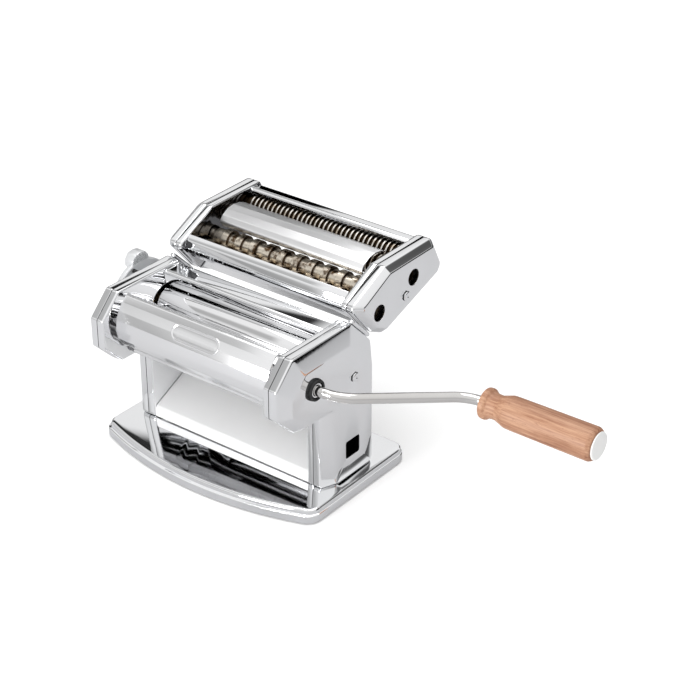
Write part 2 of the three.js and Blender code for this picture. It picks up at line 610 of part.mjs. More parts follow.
const HUB_R = 9;
const SPRING_POCKET = 7.2;
function dialPiece() {
  const body = turned([
    [dialIn, SHAFT_R + FIT], [dialIn, DIAL.radius - 0.8], [dialIn - 0.8, DIAL.radius],
    [dialOut + 1, DIAL.radius], [dialOut, DIAL.radius - 1], [dialOut, HUB_R], [hubOut, HUB_R - 0.6],
    [hubOut, SPRING_POCKET],
    [dialIn - 2, SPRING_POCKET], [dialIn - 2, SHAFT_R + FIT], [dialIn, SHAFT_R + FIT],
  ], DIAL_Y, AXIS_Z, 40);
  const rimZ = AXIS_Z + DIAL.radius;
  const lug = bar([
    [DIAL_Y - LUG.half, rimZ - LUG.foot], [DIAL_Y + LUG.half, rimZ - LUG.foot],
    [DIAL_Y + LUG.half, rimZ + LUG.shoulder], ...arc(DIAL_Y, rimZ - LUG.crown, LUG.half + 0.4, 40, 140, 6),
    [DIAL_Y - LUG.half, rimZ + LUG.shoulder],
  ], dialOut - LUG.proud, dialIn);
  const [py, pz] = pinPlace(PIN.angle);
  return cut(join(body, lug), rod(dialOut - 1, dialIn + 1, PIN.radius + FIT, py, pz, 12));
}
piece("adjuster_dial", dialPiece(), GREY);

const [pinY, pinZ] = pinPlace(PIN.angle);
piece("adjuster_pin", rod(dialOut - 0.4, -X_FACE - RUN, PIN.radius, pinY, pinZ, 12), BLACK);

const washerX = hubOut + 0.5;
const washer = ring(washerX - 1, washerX, SHAFT_R + FIT, SPRING_POCKET - 0.5, DIAL_Y, AXIS_Z, 20);
piece("adjuster_washer", washer, STEEL);

/** Wave washer between the dial's pocket and the retaining washer, at its pressed height. */
function waveWasher() {
  const free = washerX - (dialIn - 2 - DIAL.pull);
  const thickness = 0.5;
  const rise = (Math.abs(free) - thickness) / 2 - FIT;
  const middle = washerX - free / 2;
  const inner = SHAFT_R + 0.6;
  const outer = SPRING_POCKET - 0.6;
  const section = [[-0.5, inner], [-0.5, outer], [0.5, outer], [0.5, inner]];
  return loft(Array.from({ length: 36 }, (_, i) => {
    const t = (i * FULL) / 36;
    const x = middle + rise * Math.cos(3 * t);
    return section.map(([half, r]) => (
      new THREE.Vector3(x + half * thickness, DIAL_Y + r * Math.cos(t), AXIS_Z + r * Math.sin(t))
    ));
  }), true);
}
piece("adjuster_spring", waveWasher(), STEEL);

// ---- cutter head, built level about the first drive hole ---------------
const CUT_END = [
  [-8.6, -14], [2.9, -24.6], [CUTTER.pair + 30.1, -21.6], [CUTTER.pair + 38.4, -14.7],
  [CUTTER.pair + 33.5, 11.4], [20.6, 27.5], [-23.4, 19.7],
];
const CUT_EASE = 4;
const cutterOutline = (inset) => eased(insetOutline(CUT_END, inset), CUT_EASE);
const pairX = [0, CUTTER.pair];
const shafts = pairX.flatMap((u) => [[u, 0], [u + CUT.spacing, 0]]);
const shaftHoles = (x0, x1, radius, list) => list.map(([u, v]) => rod(x0, x1, radius, u, v, 16));
const cutRivet = [(CUT.spacing + CUTTER.pair) / 2 + 2, -9.5];

function cutterCheek() {
  const plate = bar(cutterOutline(0), X_IN, X_RIM);
  const hollow = bar(cutterOutline(CHEEK_SHEET), X_PLATE, X_RIM + 1);
  return cut(
    plate, hollow, ...shaftHoles(X_IN - 1, X_RIM + 1, CUT_JOURNAL_R + RUN, shafts),
    ...shaftHoles(X_IN - 1, X_RIM + 1, RIVET.shank + FIT, [cutRivet]),
  );
}
piece("cutter_right_cheek", cutterCheek(), CHROME, cutterParts);
piece("cutter_left_cheek", mirrored(cutterCheek()), CHROME, cutterParts);

const DRIVE_HOLE_R = 6.7;
function cutterCover(driveHoles) {
  const bevelled = (inset, depth) => loft([
    ringAt(cutterOutline(inset), X_COVER - depth), ringAt(cutterOutline(inset), X_DRUM - depth / 2),
    ringAt(cutterOutline(inset + CUTTER.bevel), X_FACE - depth),
  ]);
  return cut(
    bevelled(0, 0), bevelled(SHEET, SHEET), ...shaftHoles(X_COVER, X_FACE + 1, RIVET.shank + FIT, [cutRivet]),
    ...shaftHoles(X_COVER, X_FACE + 1, DRIVE_HOLE_R, driveHoles),
  );
}
piece("cutter_right_cover", cutterCover(pairX.map((u) => [u, 0])), CHROME, cutterParts);
piece("cutter_left_cover", mirrored(cutterCover([])), CHROME, cutterParts);

const cutterRivet = rivet(X_IN - FIT, ...cutRivet);
piece("cutter_right_rivet", cutterRivet, CHROME, cutterParts);
piece("cutter_left_rivet", mirrored(cutterRivet), CHROME, cutterParts);

const frontPlate = [
  [-9, 22], [-13.5, 19.6], [-17, 14.5], [-17.4, 10.5], [-16, 6], [-8.6, -10], [-6, -13.5], [-1, -15.5],
];
piece("cutter_front_plate", bar(folded(frontPlate, SHEET), -X_SHEET, X_SHEET), CHROME, cutterParts);
const hoodPath = [
  [CUT.spacing + 3.8, 11], [CUT.spacing + 1.6, 18.4], [CUT.spacing + 6, 21.4], [CUT.spacing + 12, 22.6],
  [CUT.spacing + 19, 21.6], [CUT.spacing + 26, 18.4], [CUT.spacing + 31, 14],
];
piece("cutter_hood", bar(folded(hoodPath, -SHEET), -X_SHEET + 8, X_SHEET - 8), CHROME, cutterParts);
const rearBack = CUTTER.pair + 34.4;
const rearCutPath = [
  [rearBack - 15, 12.4], [rearBack - 12, 13.6], [rearBack - 4, 10.4], [rearBack, 4], [rearBack + 1, -12],
  [rearBack - 4, -18.4], [rearBack - 14, -20.4],
];
piece("cutter_rear_cover", bar(folded(rearCutPath, -SHEET), -X_SHEET, X_SHEET), CHROME, cutterParts);

/** Profile of a cutter: ridges and grooves in turn, with its two journals. */
function cutterProfile(count, shift, farEnd) {
  const pitch = (ROLLER_LENGTH - 4) / (count + 0.5);
  const low = CUT.radius - CUT.groove;
  const profile = [
    [-X_RIM, 0], [-X_RIM, CUT_JOURNAL_R], [-halfRoller + 1, CUT_JOURNAL_R], [-halfRoller + 1, low],
  ];
  for (let i = 0; i < count; i += 1) {
    const from = -halfRoller + 2 + (i + shift) * pitch;
    profile.push([from + CUT.side, low], [from + CUT.side, CUT.radius]);
    profile.push([from + pitch / 2 - CUT.side, CUT.radius], [from + pitch / 2 - CUT.side, low]);
  }
  profile.push([halfRoller - 1, low], [halfRoller - 1, CUT_JOURNAL_R], [farEnd, CUT_JOURNAL_R], [farEnd, 0]);
  return profile;
}
const CUT_GEAR_X = X_COVER + 0.4;
const cutGearEnd = CUT_GEAR_X + CUT_GEAR.width;
for (const [kind, u, count, segments] of [["wide", 0, CUT.wide, 14], ["fine", CUTTER.pair, CUT.fine, 10]]) {
  const drive = turned(cutterProfile(count, 0, X_FACE - 1), u, 0, segments);
  const socket = rod(X_FACE - 24, X_FACE, ROD_R + FIT, u, 0, 16);
  piece(`${kind}_cutter_front`, cut(drive, socket), DARK_STEEL, cutterParts);
  const driven = turned(cutterProfile(count, 0.5, cutGearEnd + 0.8), u + CUT.spacing, 0, segments);
  piece(`${kind}_cutter_rear`, driven, DARK_STEEL, cutterParts);
  const pitch = CUT.spacing / 2;
  const bore = CUT_JOURNAL_R + FIT;
  const gearOn = (at, phase) => gear(CUT_GEAR, pitch, bore, CUT_GEAR_X, cutGearEnd, at, 0, phase);
  piece(`${kind}_gear_front`, gearOn(u, 0), DARK_STEEL, cutterParts);
  piece(`${kind}_gear_rear`, gearOn(u + CUT.spacing, 0.5), DARK_STEEL, cutterParts);
  const middle = u + CUT.spacing / 2;
  const under = -CUT.radius - 1.2;
  piece(`${kind}_stripper`, bar([
    [middle - 4, under - 3.4], [middle + 4, under - 3.4], [middle + 2.4, under - 0.6], [middle, under + 2.8],
    [middle - 2.4, under - 0.6],
  ], -X_SHEET, X_SHEET), STEEL, cutterParts);
}

// ---- the assembled machine ---------------------------------------------
const machine = new THREE.Group();
const meshOf = ([name, geometry, material]) => {
  const mesh = new THREE.Mesh(geometry, material);
  mesh.name = name;
  return mesh;
};
machine.add(...parts.map(meshOf));

const cutterHead = new THREE.Group();
cutterHead.add(...cutterParts.map(meshOf));
cutterHead.rotation.x = THREE.MathUtils.degToRad(CUTTER.tilt);
cutterHead.position.set(0, AXIS_Y + CUTTER.y, AXIS_Z + CUTTER.z);
machine.add(cutterHead);

// rails lie along the rear chamfer of the head, one at each end of the cutter head
for (const [name, side] of [["cutter_right_rail", 1], ["cutter_left_rail", -1]]) {
  const capsule = new THREE.CapsuleGeometry(RAIL.radius, RAIL.length - 2 * RAIL.radius, 3, 12);
  capsule.scale(RAIL.width / (2 * RAIL.radius), 1, 1);
  const rail = meshOf([name, closed(capsule), CHROME]);
  const clear = (RAIL.radius + FIT) / Math.SQRT2;
  rail.rotation.x = -Math.PI / 4;
  rail.position.set(
    side * (X_DRUM - RAIL.width / 2),
    LEG_REAR_Y - HEAD.chamferRear / 2 + clear,
    TOP_Z - HEAD.chamferRear / 2 + clear,
  );
  machine.add(rail);
}

// the frame's origin: middle of the machine's outline, on the table
machine.updateMatrixWorld(true);
const extent = new THREE.Box3().setFromObject(machine);
const middle = extent.getCenter(new THREE.Vector3());
machine.position.set(-middle.x, -middle.y, -extent.min.z);

export default machine;
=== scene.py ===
"""Looks of a hand-cranked pasta roller machine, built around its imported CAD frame.

Sizes are in millimetres in the maker's datum: X along the rollers from the machine's
middle, Y to the rear, Z up from the table, with the front roller's axis at Y -36.
"""

import logging
import math
from dataclasses import dataclass, field
from enum import Enum
from typing import Iterable, Sequence

import bpy
from mathutils import Matrix, Vector


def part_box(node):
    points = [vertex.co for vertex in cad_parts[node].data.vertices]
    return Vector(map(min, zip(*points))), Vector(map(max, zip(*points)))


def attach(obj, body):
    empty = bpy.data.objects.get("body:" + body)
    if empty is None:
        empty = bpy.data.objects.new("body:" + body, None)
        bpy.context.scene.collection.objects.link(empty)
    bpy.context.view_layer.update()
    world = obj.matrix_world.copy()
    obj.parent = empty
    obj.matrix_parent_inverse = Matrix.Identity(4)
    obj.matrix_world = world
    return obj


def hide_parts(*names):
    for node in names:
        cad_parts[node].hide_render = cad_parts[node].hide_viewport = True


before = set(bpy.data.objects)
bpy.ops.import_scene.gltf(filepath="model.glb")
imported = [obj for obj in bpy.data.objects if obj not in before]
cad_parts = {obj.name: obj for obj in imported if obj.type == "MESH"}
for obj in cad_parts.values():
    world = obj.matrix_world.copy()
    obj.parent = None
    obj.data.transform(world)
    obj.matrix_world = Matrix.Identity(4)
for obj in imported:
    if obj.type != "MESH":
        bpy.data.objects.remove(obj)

LOG = logging.getLogger("pasta_machine")
MM = 0.001
AXIS_Y = -36.0
AXIS_Z = 106.5
REAR_Y = -1.8
X_SHEET = 78.2

Outline = list[tuple[float, float]]


def datum() -> Vector:
    """Place of the maker's datum in the frame, in metres.

    Returns:
        The datum.
    """
    base_low, base_high = (Vector(corner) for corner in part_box("base_pan"))
    roller_low, roller_high = (Vector(corner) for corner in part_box("front_roller"))
    middle_x = (base_low.x + base_high.x) / 2
    axis_y = (roller_low.y + roller_high.y) / 2
    return Vector((middle_x, axis_y - AXIS_Y * MM, 0.0))


DATUM = datum()


def place(x: float, y: float, z: float) -> Vector:
    """A point of the maker's datum in metres in the frame."""
    return DATUM + Vector((x, y, z)) * MM


# ---------------------------------------------------------------- shader maths
class Channel:
    """One shader socket that Python's operators work on."""

    def __init__(self, graph: "Graph", socket: bpy.types.NodeSocket) -> None:
        """Keeps the graph that the socket belongs to."""
        self.graph = graph
        self.socket = socket

    def __add__(self, other: "Channel | float") -> "Channel":
        """Sum."""
        return self.graph.math("ADD", self, other)

    __radd__ = __add__

    def __mul__(self, other: "Channel | float") -> "Channel":
        """Product."""
        return self.graph.math("MULTIPLY", self, other)

    __rmul__ = __mul__

    def __sub__(self, other: "Channel | float") -> "Channel":
        """Difference."""
        return self.graph.math("SUBTRACT", self, other)

    def __rsub__(self, other: "Channel | float") -> "Channel":
        """Difference from the left."""
        return self.graph.math("SUBTRACT", other, self)

    def __gt__(self, other: "Channel | float") -> "Channel":
        """One where this is the greater."""
        return self.graph.math("GREATER_THAN", self, other)

    def clamp(self) -> "Channel":
        """This value held between nought and one."""
        made = self.graph.node("ShaderNodeClamp", inputs={"Value": self})
        return Channel(self.graph, made.outputs[0])


class Graph:
    """The node tree of one material, with its principled shader ready."""

    def __init__(self, name: str) -> None:
        """Starts an empty material with a principled shader.

        Args:
            name: The material's name.
        """
        self.material = bpy.data.materials.new(name)
        self.material.use_nodes = True
        self.tree = self.material.node_tree
        self.tree.nodes.clear()
        self.shader = self.node("ShaderNodeBsdfPrincipled")
        output = self.node("ShaderNodeOutputMaterial")
        self.tree.links.new(self.shader.outputs[0], output.inputs["Surface"])

    def node(
        self,
        kind: str,
        settings: dict[str, object] | None = None,
        inputs: dict[str | int, object] | None = None,
        stops: Sequence[tuple[float, tuple[float, float, float]]] = (),
    ) -> bpy.types.Node:
        """Adds a node.

        Args:
            kind: The node's type.
            settings: Its own properties.
            inputs: What its sockets hold: values, or channels that are linked.
            stops: Positions and colours of a ramp.

        Returns:
            The node.
        """
        made = self.tree.nodes.new(kind)
        for key, value in (settings or {}).items():
            setattr(made, key, value)
        if stops:
            ramp = made.color_ramp
            while len(ramp.elements) < len(stops):
                ramp.elements.new(0.5)
            for element, (position, colour) in zip(ramp.elements, stops):
                element.position = position
                element.color = (*colour, 1.0)
        for key, value in (inputs or {}).items():
            if isinstance(value, Channel):
                self.tree.links.new(value.socket, made.inputs[key])
            else:
                made.inputs[key].default_value = value
        return made

    def math(self, operation: str, a: Channel | float, b: Channel | float) -> Channel:
        """A Math node of two values."""
        made = self.node("ShaderNodeMath", {"operation": operation}, {0: a, 1: b})
        return Channel(self, made.outputs[0])

    def place(self, scale: tuple[float, float, float] = (1, 1, 1)) -> Channel:
        """The object's own coordinates, stretched by a scale.

        Args:
            scale: How much each axis is stretched.

        Returns:
            The coordinates.
        """
        source = self.node("ShaderNodeTexCoord")
        made = self.node(
            "ShaderNodeMapping",
            inputs={"Vector": Channel(self, source.outputs["Object"]), "Scale": scale},
        )
        return Channel(self, made.outputs[0])

    def noise(self, at: Channel, scale: float, detail: float = 3.0, rough: float = 0.55) -> Channel:
        """Soft noise from nought to one.

        Args:
            at: Where the noise is read.
            scale: Its fineness per metre.
            detail: Its octaves.
            rough: How strong the fine octaves are.

        Returns:
            The noise.
        """
        made = self.node(
            "ShaderNodeTexNoise", inputs={"Vector": at, "Scale": scale, "Detail": detail, "Roughness": rough}
        )
        return Channel(self, made.outputs[0])

    def ramp(self, value: Channel, stops: Sequence[tuple[float, tuple[float, float, float]]]) -> Channel:
        """A colour for each value."""
        made = self.node("ShaderNodeValToRGB", inputs={0: value}, stops=stops)
        return Channel(self, made.outputs[0])

    def mix(self, share: Channel | float, a: object, b: object) -> Channel:
        """A mix of two colours.

        Args:
            share: How much of the second shows.
            a: The first colour.
            b: The second colour.

        Returns:
            The colour.
        """
        made = self.node(
            "ShaderNodeMix", {"data_type": "RGBA"}, {"Factor": share, 6: a, 7: b}
        )
        return Channel(self, made.outputs[2])

    def bump(self, height: Channel, strength: float, depth: float) -> None:
        """Raises the surface by a height, in metres times strength.

        Args:
            height: The height.
            strength: Its strength.
            depth: Its depth in metres.
        """
        made = self.node(
            "ShaderNodeBump", inputs={"Strength": strength, "Distance": depth, "Height": height}
        )
        self.tree.links.new(made.outputs[0], self.shader.inputs["Normal"])

    def set(self, **values: object) -> None:
        """Sets or links the shader's sockets; an underscore stands for a space.

        Args:
            values: A value or a channel for each socket.
        """
        for key, value in values.items():
            socket = self.shader.inputs[key.replace("_", " ")]
            if isinstance(value, Channel):
                self.tree.links.new(value.socket, socket)
            else:
                socket.default_value = value


# ---------------------------------------------------------------- finishes
@dataclass(frozen=True)
class ChromePlate:
    """Polished chrome over pressed steel, with faint polishing lines and handling haze."""

    name: str = "chrome_plate"
    tint: tuple[float, float, float] = (0.93, 0.935, 0.945)
    shade: tuple[float, float, float] = (0.86, 0.865, 0.875)
    polish: float = 0.035
    haze: float = 0.06

    def build(self) -> bpy.types.Material:
        """Makes the material.

        Returns:
            The material.
        """
        graph = Graph(self.name)
        cloud = graph.noise(graph.place(), 28.0, 4.0)
        lines = graph.noise(graph.place((0.05, 1.0, 1.0)), 900.0, 2.0)
        graph.set(
            Base_Color=graph.mix(cloud, (*self.shade, 1), (*self.tint, 1)),
            Metallic=1.0,
            Roughness=self.polish + self.haze * (cloud - 0.42).clamp() + 0.012 * lines,
        )
        graph.bump(lines, 0.012, 0.0001)
        return graph.material


@dataclass(frozen=True)
class TurnedSteel:
    """Ground or turned steel with fine marks round its axis."""

    name: str = "turned_steel"
    tint: tuple[float, float, float] = (0.78, 0.78, 0.79)
    shade: tuple[float, float, float] = (0.58, 0.58, 0.59)
    rough: float = 0.2

    def build(self) -> bpy.types.Material:
        """Makes the material.

        Returns:
            The material.
        """
        graph = Graph(self.name)
        marks = graph.noise(graph.place((1.0, 0.03, 0.03)), 2600.0, 2.0)
        cloud = graph.noise(graph.place(), 40.0, 4.0)
        graph.set(
            Base_Color=graph.mix(cloud, (*self.shade, 1), (*self.tint, 1)),
            Metallic=1.0,
            Roughness=self.rough + 0.12 * marks + 0.06 * cloud,
        )
        graph.bump(marks, 0.12, 0.0001)
        return graph.material


@dataclass(frozen=True)
class CutterAlloy:
    """Warm cutter metal with dark brown patches at random; the dark in its grooves is painted shade from the groove
    lining.
    """

    name: str = "cutter_alloy"
    bright: tuple[float, float, float] = (0.86, 0.78, 0.66)
    brown: tuple[float, float, float] = (0.12, 0.07, 0.035)
    rough: float = 0.2

    def build(self) -> bpy.types.Material:
        """Makes the material.

        Returns:
            The material.
        """
        graph = Graph(self.name)
        patch = graph.noise(graph.place(), 110.0, 4.0, 0.6)
        marks = graph.noise(graph.place((1.0, 0.03, 0.03)), 2200.0, 2.0)
        tone = graph.ramp(patch, [(0.38, self.brown), (0.50, self.bright), (1.0, self.bright)])
        graph.set(Base_Color=tone, Metallic=1.0, Roughness=self.rough + 0.2 * marks)
        graph.bump(marks, 0.05, 0.0001)
        return graph.material


@dataclass(frozen=True)
class CastGrey:
    """Light grey cast alloy, satin with a fine grain."""

    name: str = "cast_grey"
    tint: tuple[float, float, float] = (0.80, 0.81, 0.82)
    shade: tuple[float, float, float] = (0.66, 0.67, 0.68)
    metallic: float = 0.65
    rough: float = 0.34

    def build(self) -> bpy.types.Material:
        """Makes the material.

        Returns:
            The material.
        """
        graph = Graph(self.name)
        grain = graph.noise(graph.place(), 1500.0, 3.0)
        cloud = graph.noise(graph.place(), 60.0, 3.0)
        graph.set(
            Base_Color=graph.mix(cloud, (*self.shade, 1), (*self.tint, 1)),
            Metallic=self.metallic,
            Roughness=self.rough + 0.12 * cloud,
        )
        graph.bump(grain, 0.2, 0.0002)
        return graph.material


@dataclass(frozen=True)
class Beech:
    """Steamed beech, oiled: reddish brown with long grain, flecks and pores along X."""

    name: str = "beech"
    light: tuple[float, float, float] = (0.56, 0.32, 0.20)
    middle: tuple[float, float, float] = (0.40, 0.195, 0.11)
    dark: tuple[float, float, float] = (0.25, 0.095, 0.045)

    def build(self) -> bpy.types.Material:
        """Makes the material.

        Returns:
            The material.
        """
        graph = Graph(self.name)
        drift = graph.noise(graph.place((1.0, 6.0, 6.0)), 9.0, 4.0, 0.6)
        grain = graph.noise(graph.place((0.05, 1.0, 1.0)), 520.0, 5.0, 0.65)
        fleck = graph.noise(graph.place((0.16, 1.0, 1.0)), 1300.0, 2.0)
        pores = fleck > 0.66
        tone = graph.ramp(0.45 * drift + 0.55 * grain, [(0.36, self.dark), (0.48, self.middle), (0.6, self.light)])
        graph.set(
            Base_Color=graph.mix(0.45 * pores, tone, (*self.dark, 1)),
            Roughness=0.46 + 0.16 * grain,
            Coat_Weight=0.12,
            Coat_Roughness=0.3,
        )
        graph.bump(grain - 0.4 * pores, 0.25, 0.0003)
        return graph.material


@dataclass(frozen=True)
class Moulded:
    """Moulded rubber or plastic with a fine grain."""

    name: str
    tint: tuple[float, float, float]
    shade: tuple[float, float, float]
    rough: float
    grain: float = 0.15

    def build(self) -> bpy.types.Material:
        """Makes the material.

        Returns:
            The material.
        """
        graph = Graph(self.name)
        cloud = graph.noise(graph.place(), 90.0, 4.0)
        pebble = graph.noise(graph.place(), 2400.0, 2.0)
        graph.set(
            Base_Color=graph.mix(cloud, (*self.shade, 1), (*self.tint, 1)),
            Roughness=self.rough + 0.1 * cloud,
        )
        graph.bump(pebble, self.grain, 0.0002)
        return graph.material


class Finish(Enum):
    """The finishes that the machine's pieces wear, each with the record's slot."""

    CHROME = ("chrome", "bright")
    COVER = ("chrome", "cover")
    SATIN = ("chrome", "satin")
    CHUTE = ("chrome", "chute")
    ROD = ("chrome", "rod")
    ROLLER = ("steel", "ground")
    STEEL = ("steel", "plain")
    GEAR = ("dark_steel", "gear")
    # The next three finishes are painted shade: dark steel put on hidden inner sides, cutter cheek ends and cutter
    # grooves, where only shadow falls.
    LINING = ("dark_steel", "lining")
    INSIDE = ("dark_steel", "inside")
    GROOVE = ("dark_steel", "groove")
    DARK_STEEL = ("dark_steel", "cutter")
    TEETH = ("dark_steel", "teeth")
    BRONZE = ("bronze", "bearing")
    RUBBER = ("black_rubber", "foot")
    BLACK = ("black_plastic", "moulding")
    GREY = ("grey_metal", "cast")
    BEECH = ("beech", "oiled")
    WHITE = ("white_plastic", "cap")


@dataclass
class Finishes:
    """Makes each finish once and hands it out."""

    made: dict[Finish, bpy.types.Material] = field(default_factory=dict)

    def prepare(self) -> None:
        """Builds every material."""
        recipes = {
            Finish.CHROME: ChromePlate(),
            Finish.COVER: ChromePlate("cover_chrome", (0.93, 0.932, 0.94), (0.88, 0.882, 0.89), 0.16, 0.05),
            Finish.SATIN: ChromePlate("satin_chrome", (0.95, 0.95, 0.955), (0.90, 0.90, 0.91), 0.30, 0.08),
            Finish.ROD: ChromePlate("rod_chrome", (0.76, 0.745, 0.73), (0.66, 0.645, 0.63), 0.06, 0.05),
            Finish.ROLLER: ChromePlate("ground_steel", (0.90, 0.90, 0.905), (0.84, 0.84, 0.85), 0.06, 0.04),
            Finish.STEEL: TurnedSteel(),
            Finish.GEAR: TurnedSteel("gear_steel", (0.42, 0.41, 0.40), (0.28, 0.27, 0.26), 0.3),
            # Painted shade: near-black steel for the inner sides and edges of the covers and cheeks, so their gaps read
            # as shadow.
            Finish.LINING: TurnedSteel("painted_shade_lining", (0.10, 0.10, 0.10), (0.05, 0.05, 0.05), 0.32),
            # Painted shade and painted dark reflection on the inner ends of the cutter cheeks.
            Finish.INSIDE: ChromePlate("shaded_plate", (0.16, 0.16, 0.165), (0.09, 0.09, 0.095), 0.1, 0.1),
            # Painted shade: dark brown steel on the cutters' ridge sides and groove floors.
            Finish.GROOVE: TurnedSteel("cutter_groove_shade", (0.10, 0.065, 0.035), (0.04, 0.025, 0.015), 0.35),
            Finish.DARK_STEEL: CutterAlloy(),
            Finish.TEETH: CutterAlloy("teeth_alloy", (0.95, 0.92, 0.86), (0.60, 0.52, 0.42), 0.2),
            Finish.CHUTE: CastGrey("white_satin", (0.97, 0.97, 0.97), (0.93, 0.93, 0.93), 0.12, 0.35),
            Finish.BRONZE: TurnedSteel("bearing_bronze", (0.72, 0.55, 0.30), (0.50, 0.36, 0.18), 0.3),
            Finish.RUBBER: Moulded("foot_rubber", (0.035, 0.035, 0.036), (0.02, 0.02, 0.02), 0.62, 0.3),
            Finish.BLACK: Moulded("black_moulding", (0.014, 0.014, 0.015), (0.008, 0.008, 0.008), 0.5),
            Finish.GREY: CastGrey(),
            Finish.BEECH: Beech(),
            Finish.WHITE: Moulded("white_cap", (0.86, 0.86, 0.85), (0.80, 0.80, 0.79), 0.3, 0.05),
        }
        for finish, recipe in recipes.items():
            self.made[finish] = recipe.build()

    def dress(self, piece: bpy.types.Object, finish: Finish) -> None:
        """Gives a piece one finish all over, but keeps the painted shade linings in its later slots.

        Args:
            piece: The piece.
            finish: What it is made of.
        """
        slots = piece.data.materials
        shade_linings = tuple(self.made[kind] for kind in (Finish.LINING, Finish.INSIDE, Finish.GROOVE))
        if not len(slots):
            slots.append(self.made[finish])
        for index, worn in enumerate(slots):
            if index == 0 or worn not in shade_linings:
                slots[index] = self.made[finish]


# ---------------------------------------------------------------- bench work
class Bench:
    """Modelling moves that the sub-assemblies share, all made with Blender's own tools."""

    @staticmethod
    def clear() -> None:
        """Leaves edit mode with nothing selected."""
        if bpy.context.object and bpy.context.object.mode != "OBJECT":
            bpy.ops.object.mode_set(mode="OBJECT")
        bpy.ops.object.select_all(action="DESELECT")

    @staticmethod
    def activate(piece: bpy.types.Object) -> None:
        """Selects one piece alone.

        Args:
            piece: The piece.
        """
        Bench.clear()
        piece.select_set(True)
        bpy.context.view_layer.objects.active = piece

    @staticmethod
    def edit(piece: bpy.types.Object) -> None:
        """Opens a piece in edit mode with all of it selected.

        Args:
            piece: The piece.
        """
        Bench.activate(piece)
        bpy.ops.object.mode_set(mode="EDIT")
        bpy.ops.mesh.select_all(action="SELECT")

    @staticmethod
    def blank(name: str) -> bpy.types.Object:
        """Starts a piece with an empty mesh and leaves it open in edit mode.

        Args:
            name: The piece's name.

        Returns:
            The empty piece.
        """
        Bench.clear()
        bpy.ops.mesh.primitive_plane_add(size=MM, location=(0, 0, 0))
        piece = bpy.context.object
        piece.name = name
        piece.data.name = name
        bpy.ops.object.mode_set(mode="EDIT")
        bpy.ops.mesh.delete(type="VERT")
        return piece

    @staticmethod
    def draw(points: Sequence[Vector]) -> None:
        """Adds a line to the open piece by extruding one vertex from point to point.

        Args:
            points: Places in metres, in order.
        """
        bpy.ops.mesh.primitive_plane_add(size=MM, location=(0, 0, 0))
        bpy.ops.mesh.merge(type="CENTER")
        bpy.ops.transform.translate(value=points[0])
        for before, after in zip(points, points[1:]):
            bpy.ops.mesh.extrude_region_move(TRANSFORM_OT_translate={"value": after - before})

    @staticmethod
    def outward() -> None:
        """Turns all faces of the open piece outwards and leaves edit mode."""
        bpy.ops.mesh.select_all(action="SELECT")
        bpy.ops.mesh.normals_make_consistent(inside=False)
        bpy.ops.object.mode_set(mode="OBJECT")

    @staticmethod
    def slab(name: str, outline: Outline, x0: float, x1: float) -> bpy.types.Object:
        """A bar from x0 to x1 with a (y, z) outline.

        Args:
            name: The piece's name.
            outline: Its outline in millimetres.
            x0: Where it starts.
            x1: Where it ends.

        Returns:
            The bar.
        """
        piece = Bench.blank(name)
        Bench.draw([place(x0, y, z) for y, z in outline])
        bpy.ops.mesh.select_all(action="SELECT")
        bpy.ops.mesh.edge_face_add()
        bpy.ops.mesh.extrude_region_move(TRANSFORM_OT_translate={"value": Vector(((x1 - x0) * MM, 0, 0))})
        Bench.outward()
        return piece

    @staticmethod
    def stack(name: str, rings: Sequence[tuple[float, Outline]]) -> bpy.types.Object:
        """Bridges (y, z) outlines at rising X into a shell and fills the last one."""
        return Bench.bridge(name, [[place(x, y, z) for y, z in outline] for x, outline in rings])

    @staticmethod
    def bridge(name: str, loops: Sequence[Sequence[Vector]], both: bool = False) -> bpy.types.Object:
        """Bridges closed loops in order into one shell and fills the last one.

        Args:
            name: The piece's name.
            loops: Points of each loop in metres, as many in each.
            both: Fills the first loop as well.

        Returns:
            The shell, its faces outwards.
        """
        piece = Bench.blank(name)
        for loop in loops:
            Bench.draw([*loop, loop[0]])
        bpy.ops.mesh.select_all(action="SELECT")
        bpy.ops.mesh.remove_doubles(threshold=1e-7)
        Bench.link(piece, len(loops), len(loops[0]), both)
        return piece

    @staticmethod
    def link(piece: bpy.types.Object, rings: int, count: int, both: bool) -> None:
        """Bridges a piece's rings one after the other and fills its ends.

        Args:
            piece: The piece.
            rings: How many rings it has.
            count: Vertices in each ring.
            both: Fills the first ring as well.
        """
        for index in range(rings - 1):
            Bench.pick(piece, index * count, (index + 2) * count)
            bpy.ops.mesh.bridge_edge_loops()
        ends = [rings - 1, 0] if both else [rings - 1]
        for index in ends:
            Bench.pick(piece, index * count, (index + 1) * count)
            bpy.ops.mesh.edge_face_add()
        Bench.outward()

    @staticmethod
    def sweep(name: str, route: Sequence[Vector], radius: float, sides: int) -> bpy.types.Object:
        """Bridges circles along a route into a round bar.

        Args:
            name: The piece's name.
            route: Points along its middle, in metres.
            radius: Its radius in metres.
            sides: Faces round it.

        Returns:
            The bar.
        """
        piece = Bench.blank(name)
        for index, at in enumerate(route):
            way = route[min(index + 1, len(route) - 1)] - route[max(index - 1, 0)]
            turn = way.to_track_quat("Z", "Y").to_euler()
            bpy.ops.mesh.primitive_circle_add(vertices=sides, radius=radius, location=at, rotation=turn)
        Bench.link(piece, len(route), sides, True)
        return piece

    @staticmethod
    def pick(piece: bpy.types.Object, low: int, high: int) -> None:
        """Opens a piece in edit mode with its vertices from low up to high selected.

        Args:
            piece: The piece.
            low: The first vertex.
            high: One past the last vertex.
        """
        Bench.edit(piece)
        bpy.ops.mesh.select_mode(type="VERT")
        bpy.ops.mesh.select_all(action="DESELECT")
        bpy.ops.object.mode_set(mode="OBJECT")
        for vertex in piece.data.vertices[low:high]:
            vertex.select = True
        bpy.ops.object.mode_set(mode="EDIT")

